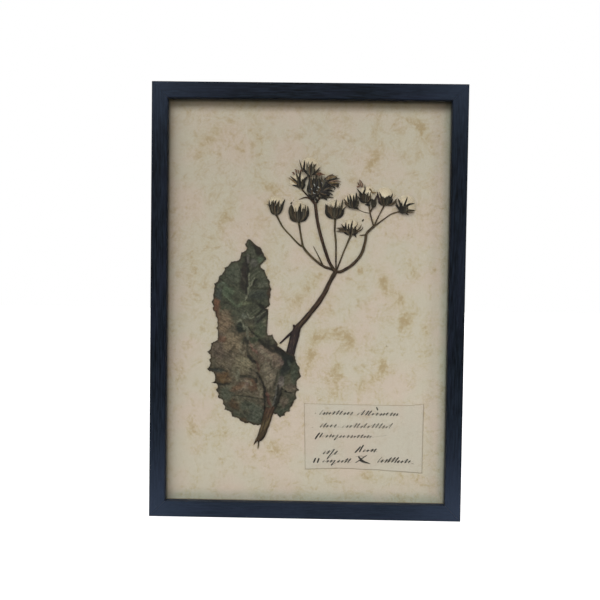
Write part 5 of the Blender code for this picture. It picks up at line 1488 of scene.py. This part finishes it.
def bract_finish():
    material, tree, shader = new_finish("bract_dark", paint(48, 42, 36), 0.7)
    shader.inputs["Specular IOR Level"].default_value = 0.08
    places = in_millimetres(tree)
    streaks = clouds(tree, stretched(tree, places, (2.4, 1.0, 0.5)), detail=4, rough=0.65)
    shade = laid(tree, band(tree, streaks, 0.35, 0.68), paint(190, 186, 182), paint(255, 255, 252))
    color = laid(tree, 1.0, stored(tree, "tone", "Color"), shade, "MULTIPLY")
    color = washed(tree, color, streaks, 0.6, 0.74, 0.28, paint(116, 102, 82))
    colored(tree, shader, color)
    bumpy(tree, shader, streaks, 0.15)
    return material


bract_dark = bract_finish()
for number in HEADS:
    head = add_head(number, bract_dark)
    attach(head, "root")
    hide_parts(f"flower_head_{number}")


# Seed hair: the silky down of ripe heads, each a fan of fine straight hairs that comes out from
# behind the front bracts and shows over them as a pale dome.

# A tuft is (degrees clockwise from upright, half its spread, reach from the head's base, fullness).
TUFTS = {
    1: (-2, 28, 13.8, 0.9),
    2: (0, 31, 14.4, 0.4),
    3: (-30, 40, 11.6, 0.6),
    4: (4, 42, 13.6, 1),
    7: (3, 33, 14.2, 0.45),
    8: (-2, 50, 11.9, 0.8),
    9: (-27, 33, 11.2, 0.7),
    10: (-7, 27, 12.6, 0.7),
    12: (3, 40, 13.4, 1),
    13: (34, 52, 12.8, 1),
}
HAIRS = 1700  # in a full tuft
HAIR_HALF_WIDTH = 0.055
HAIR_ROOT = 2.6  # how far from the head's base the hairs begin
HAIR_STOPS = np.array((0, 0.35, 0.7, 1))
HAIR_CURL = 0.03


def pointing(angle):
    """Steps of 1 that way, counted up from the right."""
    return np.stack([np.cos(angle), np.sin(angle)], axis=-1)


def add_hair(number, finish):
    """A tuft's hairs, each three-sided and drawn out to a point."""
    high, base, *_ = HEADS[number]
    lean, spread, reach, fullness = TUFTS[number]
    hairs = round(HAIRS * fullness)
    draw = np.random.default_rng(300 + number)
    low, top = (0.6, HIGH_HEAD - 0.2) if high else (0.35, LOW_HEAD - 0.15)
    aim = np.radians(90 - lean + spread * np.clip(draw.normal(0, 0.52, hairs), -1.05, 1.05))
    root_aim = np.radians(90 - lean + 2.2 * spread * draw.uniform(-0.5, 0.5, hairs))
    root = np.array(base) + HAIR_ROOT * pointing(root_aim)
    edge = np.cos((aim - math.radians(90 - lean)) * 0.9)
    length = reach * (0.72 + 0.28 * draw.beta(3.2, 1.1, hairs)) * (0.35 + 0.65 * edge)
    end = np.array(base) + length[:, None] * pointing(aim)
    left = -right_of(pointing(aim))
    curl = draw.normal(0, HAIR_CURL, (hairs, 1)) * length[:, None] * left
    share = HAIR_STOPS[None, :, None]
    line = root[:, None] * (1 - share) + end[:, None] * share + 4 * share * (1 - share) * curl[:, None]
    height = draw.uniform(low, top, (hairs, 1)) + draw.normal(0, 0.12, (hairs, 1)) * HAIR_STOPS
    half = HAIR_HALF_WIDTH * (1 - 0.7 * HAIR_STOPS)
    angle = math.tau * np.arange(3) / 3
    across = half[:, None] * np.cos(angle)
    up = half[:, None] * np.sin(angle)
    flat = line[:, :, None] + across[None, :, :, None] * left[:, None, None]
    front = np.broadcast_to(SHEET_Y - height[:, :, None] - up[None], flat.shape[:3])
    rings = np.stack([flat[..., 0], front, flat[..., 1]], axis=-1)
    faces = []
    for hair in range(hairs):
        faces += skin(rings[hair], hair * rings[0, ..., 0].size)
    made = mesh_piece(f"seed_hair_{number}", rings.reshape(-1, 3), faces, [finish], 180)
    pale = np.broadcast_to(draw.uniform(0, 1, (hairs, 1, 1)), rings.shape[:3])
    store(made, "pale", pale, "FLOAT")
    return made


def pappus_finish():
    material, tree, shader = new_finish("pappus_cream", paint(214, 200, 172), 0.7)
    pale = stored(tree, "pale", "Fac")
    color = laid(tree, pale, paint(226, 208, 180), paint(249, 237, 216))
    colored(tree, shader, color)
    # A faint painted glow, standing in for light passing through the fine hairs.
    tree.links.new(color, shader.inputs["Emission Color"])
    shader.inputs["Emission Strength"].default_value = 0.05
    return material


pappus_cream = pappus_finish()
for number in TUFTS:
    tuft = add_hair(number, pappus_cream)
    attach(tuft, "root")
    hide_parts(f"seed_tuft_{number}")


# Loose bits: a few crumbs of the dry plant that have broken off and lie on the sheet behind the glass.
# The largest are below the right heads and among the left ones.

# A crumb is (x, z, half its length).
CRUMBS = (
    (39.4, 59.8, 0.9), (-12.4, 71.6, 0.9), (-10.9, 73.6, 0.4), (-44, 56, 0.3), (58, -31, 0.35),
)


def add_crumbs(finish):
    bunch = Bunch()
    draw = np.random.default_rng(5)
    for x, z, half in CRUMBS:
        lean = draw.uniform(-1, 1)
        line = np.array([(x - half * lean, z - half), (x, z), (x + half * lean, z + half)])
        bunch.add(blade_rings(line, 0.7 * half, 0.3, 0.35), OLIVE)
    return bunch.piece("plant_crumbs", finish)


crumbs = add_crumbs(bract_dark)
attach(crumbs, "root")


# Backing board and its fittings: a thin sheet of brown hardboard, held by eight flat steel points
# pushed into the rails, with a zinc-plated sawtooth hanger on two rivets.
def hardboard_finish():
    material, tree, shader = new_finish("hardboard", paint(122, 88, 58), 0.7)
    places = in_millimetres(tree)
    fibres = clouds(tree, stretched(tree, places, (1, 1, 0.7)), 0.9, detail=8, rough=0.75)
    broad = clouds(tree, places, 0.03, detail=4)
    color = laid(tree, band(tree, fibres, 0.3, 0.72), paint(100, 70, 44), paint(142, 106, 72))
    color = washed(tree, color, broad, 0.4, 0.7, 0.35, paint(96, 68, 44))
    colored(tree, shader, color)
    bumpy(tree, shader, fibres, 0.08)
    return material


def zinc_finish():
    material, tree, shader = new_finish("zinc_steel", paint(196, 198, 196), 0.42, metallic=1.0)
    spangle = clouds(tree, in_millimetres(tree), 0.5, detail=4)
    color = laid(tree, band(tree, spangle, 0.35, 0.7), paint(168, 172, 174), paint(208, 208, 202))
    colored(tree, shader, color)
    bumpy(tree, shader, spangle, 0.02)
    return material


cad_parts["backing_board"].material_slots[0].material = hardboard_finish()
zinc_steel = zinc_finish()
for side in ("top", "right", "bottom", "left"):
    for number in (1, 2):
        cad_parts[f"tab_{side}_{number}"].material_slots[0].material = zinc_steel
for name in ("sawtooth_hanger", "rivet_left", "rivet_right"):
    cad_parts[name].material_slots[0].material = zinc_steel


# Floor and light: a white room, in metres. A broad soft window stands above and in front of the frame,
# and weaker ones behind it and on its left and right keep the shadows open.
FLOOR_Z = MIDDLE.z - FRAME_HEIGHT / 2 * MM
FLOOR_SIZE = 6
FLOOR_GLOW = 0.85  # so that it looks as white as the room
ROOM_SEEN = 1
ROOM_LIGHT = 0.24
ROOM_MIRRORED = 0.1

# A window is (name, place, (width, height), watts).
WINDOWS = (
    ("key", (-0.6, -4, 1.75), (3.8, 1.6), 165),
    ("back_window", (1, 3.2, 2.4), (3, 1.4), 60),
    ("left_window", (-2.1, -2, 0.1), (0.7, 0.9), 9),
    ("right_window", (2.1, -2, 0.1), (0.7, 0.9), 13),
)


def add_floor():
    half = FLOOR_SIZE / 2
    mesh = bpy.data.meshes.new("floor")
    square = ((-half, -half), (half, -half), (half, half), (-half, half))
    mesh.from_pydata([(x, y, FLOOR_Z) for x, y in square], [], [(0, 1, 2, 3)])
    material, tree, shader = new_finish("white_floor", (0.8, 0.8, 0.8, 1.0), 0.9)
    seen = node(tree, "LightPath").outputs["Is Camera Ray"]
    shader.inputs["Emission Color"].default_value = (1, 1, 1, 1)
    tree.links.new(times(tree, seen, FLOOR_GLOW), shader.inputs["Emission Strength"])
    dim = node(tree, "Emission", {"Strength": ROOM_MIRRORED})
    mirrored = node(tree, "LightPath").outputs["Is Glossy Ray"]
    both = node(tree, "MixShader", {0: mirrored, 1: shader.outputs[0], 2: dim.outputs[0]})
    tree.links.new(both.outputs[0], tree.nodes["Material Output"].inputs["Surface"])
    mesh.materials.append(material)
    made = bpy.data.objects.new("floor", mesh)
    bpy.context.scene.collection.objects.link(made)


def light_room():
    world = bpy.data.worlds.new("white_room")
    world.use_nodes = True
    tree = world.node_tree
    background = tree.nodes["Background"]
    background.inputs["Color"].default_value = (1, 1, 1, 1)
    rays = node(tree, "LightPath").outputs
    inputs = {"Value": rays["Is Glossy Ray"], "To Min": ROOM_LIGHT, "To Max": ROOM_MIRRORED}
    unseen = node(tree, "MapRange", inputs).outputs["Result"]
    inputs = {"Value": rays["Is Camera Ray"], "To Min": unseen, "To Max": ROOM_SEEN}
    tree.links.new(node(tree, "MapRange", inputs).outputs["Result"], background.inputs["Strength"])
    bpy.context.scene.world = world


def add_window(name, place, size, power):
    """A soft light that faces the frame."""
    light = bpy.data.lights.new(name, "AREA")
    light.shape = "RECTANGLE"
    light.size, light.size_y = size
    light.energy = power
    made = bpy.data.objects.new(name, light)
    made.location = place
    made.rotation_euler = (Vector(place) - MIDDLE).to_track_quat("Z", "Y").to_euler()
    bpy.context.scene.collection.objects.link(made)


add_floor()
light_room()
for window in WINDOWS:
    add_window(*window)


# Camera: straight on, a little above the middle, about 0.6 m from the sheet.
CAMERA_LENS = 50.58
CAMERA_PLACE = (0.0043, -0.6191, -0.1279)
CAMERA_TURN = (0.9, -2.16, -0.78)  # degrees to the left, up and clockwise
camera_data = bpy.data.cameras.new("camera")
camera_data.lens = CAMERA_LENS
camera = bpy.data.objects.new("camera", camera_data)
camera.location = CAMERA_PLACE
yaw, pitch, roll = (math.radians(angle) for angle in CAMERA_TURN)
turn = Matrix.Rotation(yaw, 3, "Z") @ Matrix.Rotation(pitch, 3, "X") @ Matrix.Rotation(roll, 3, "Y")
camera.rotation_euler = (turn @ Matrix.Rotation(math.pi / 2, 3, "X")).to_euler()
bpy.context.scene.collection.objects.link(camera)
bpy.context.scene.camera = camera

bpy.context.scene.view_settings.view_transform = "Standard"
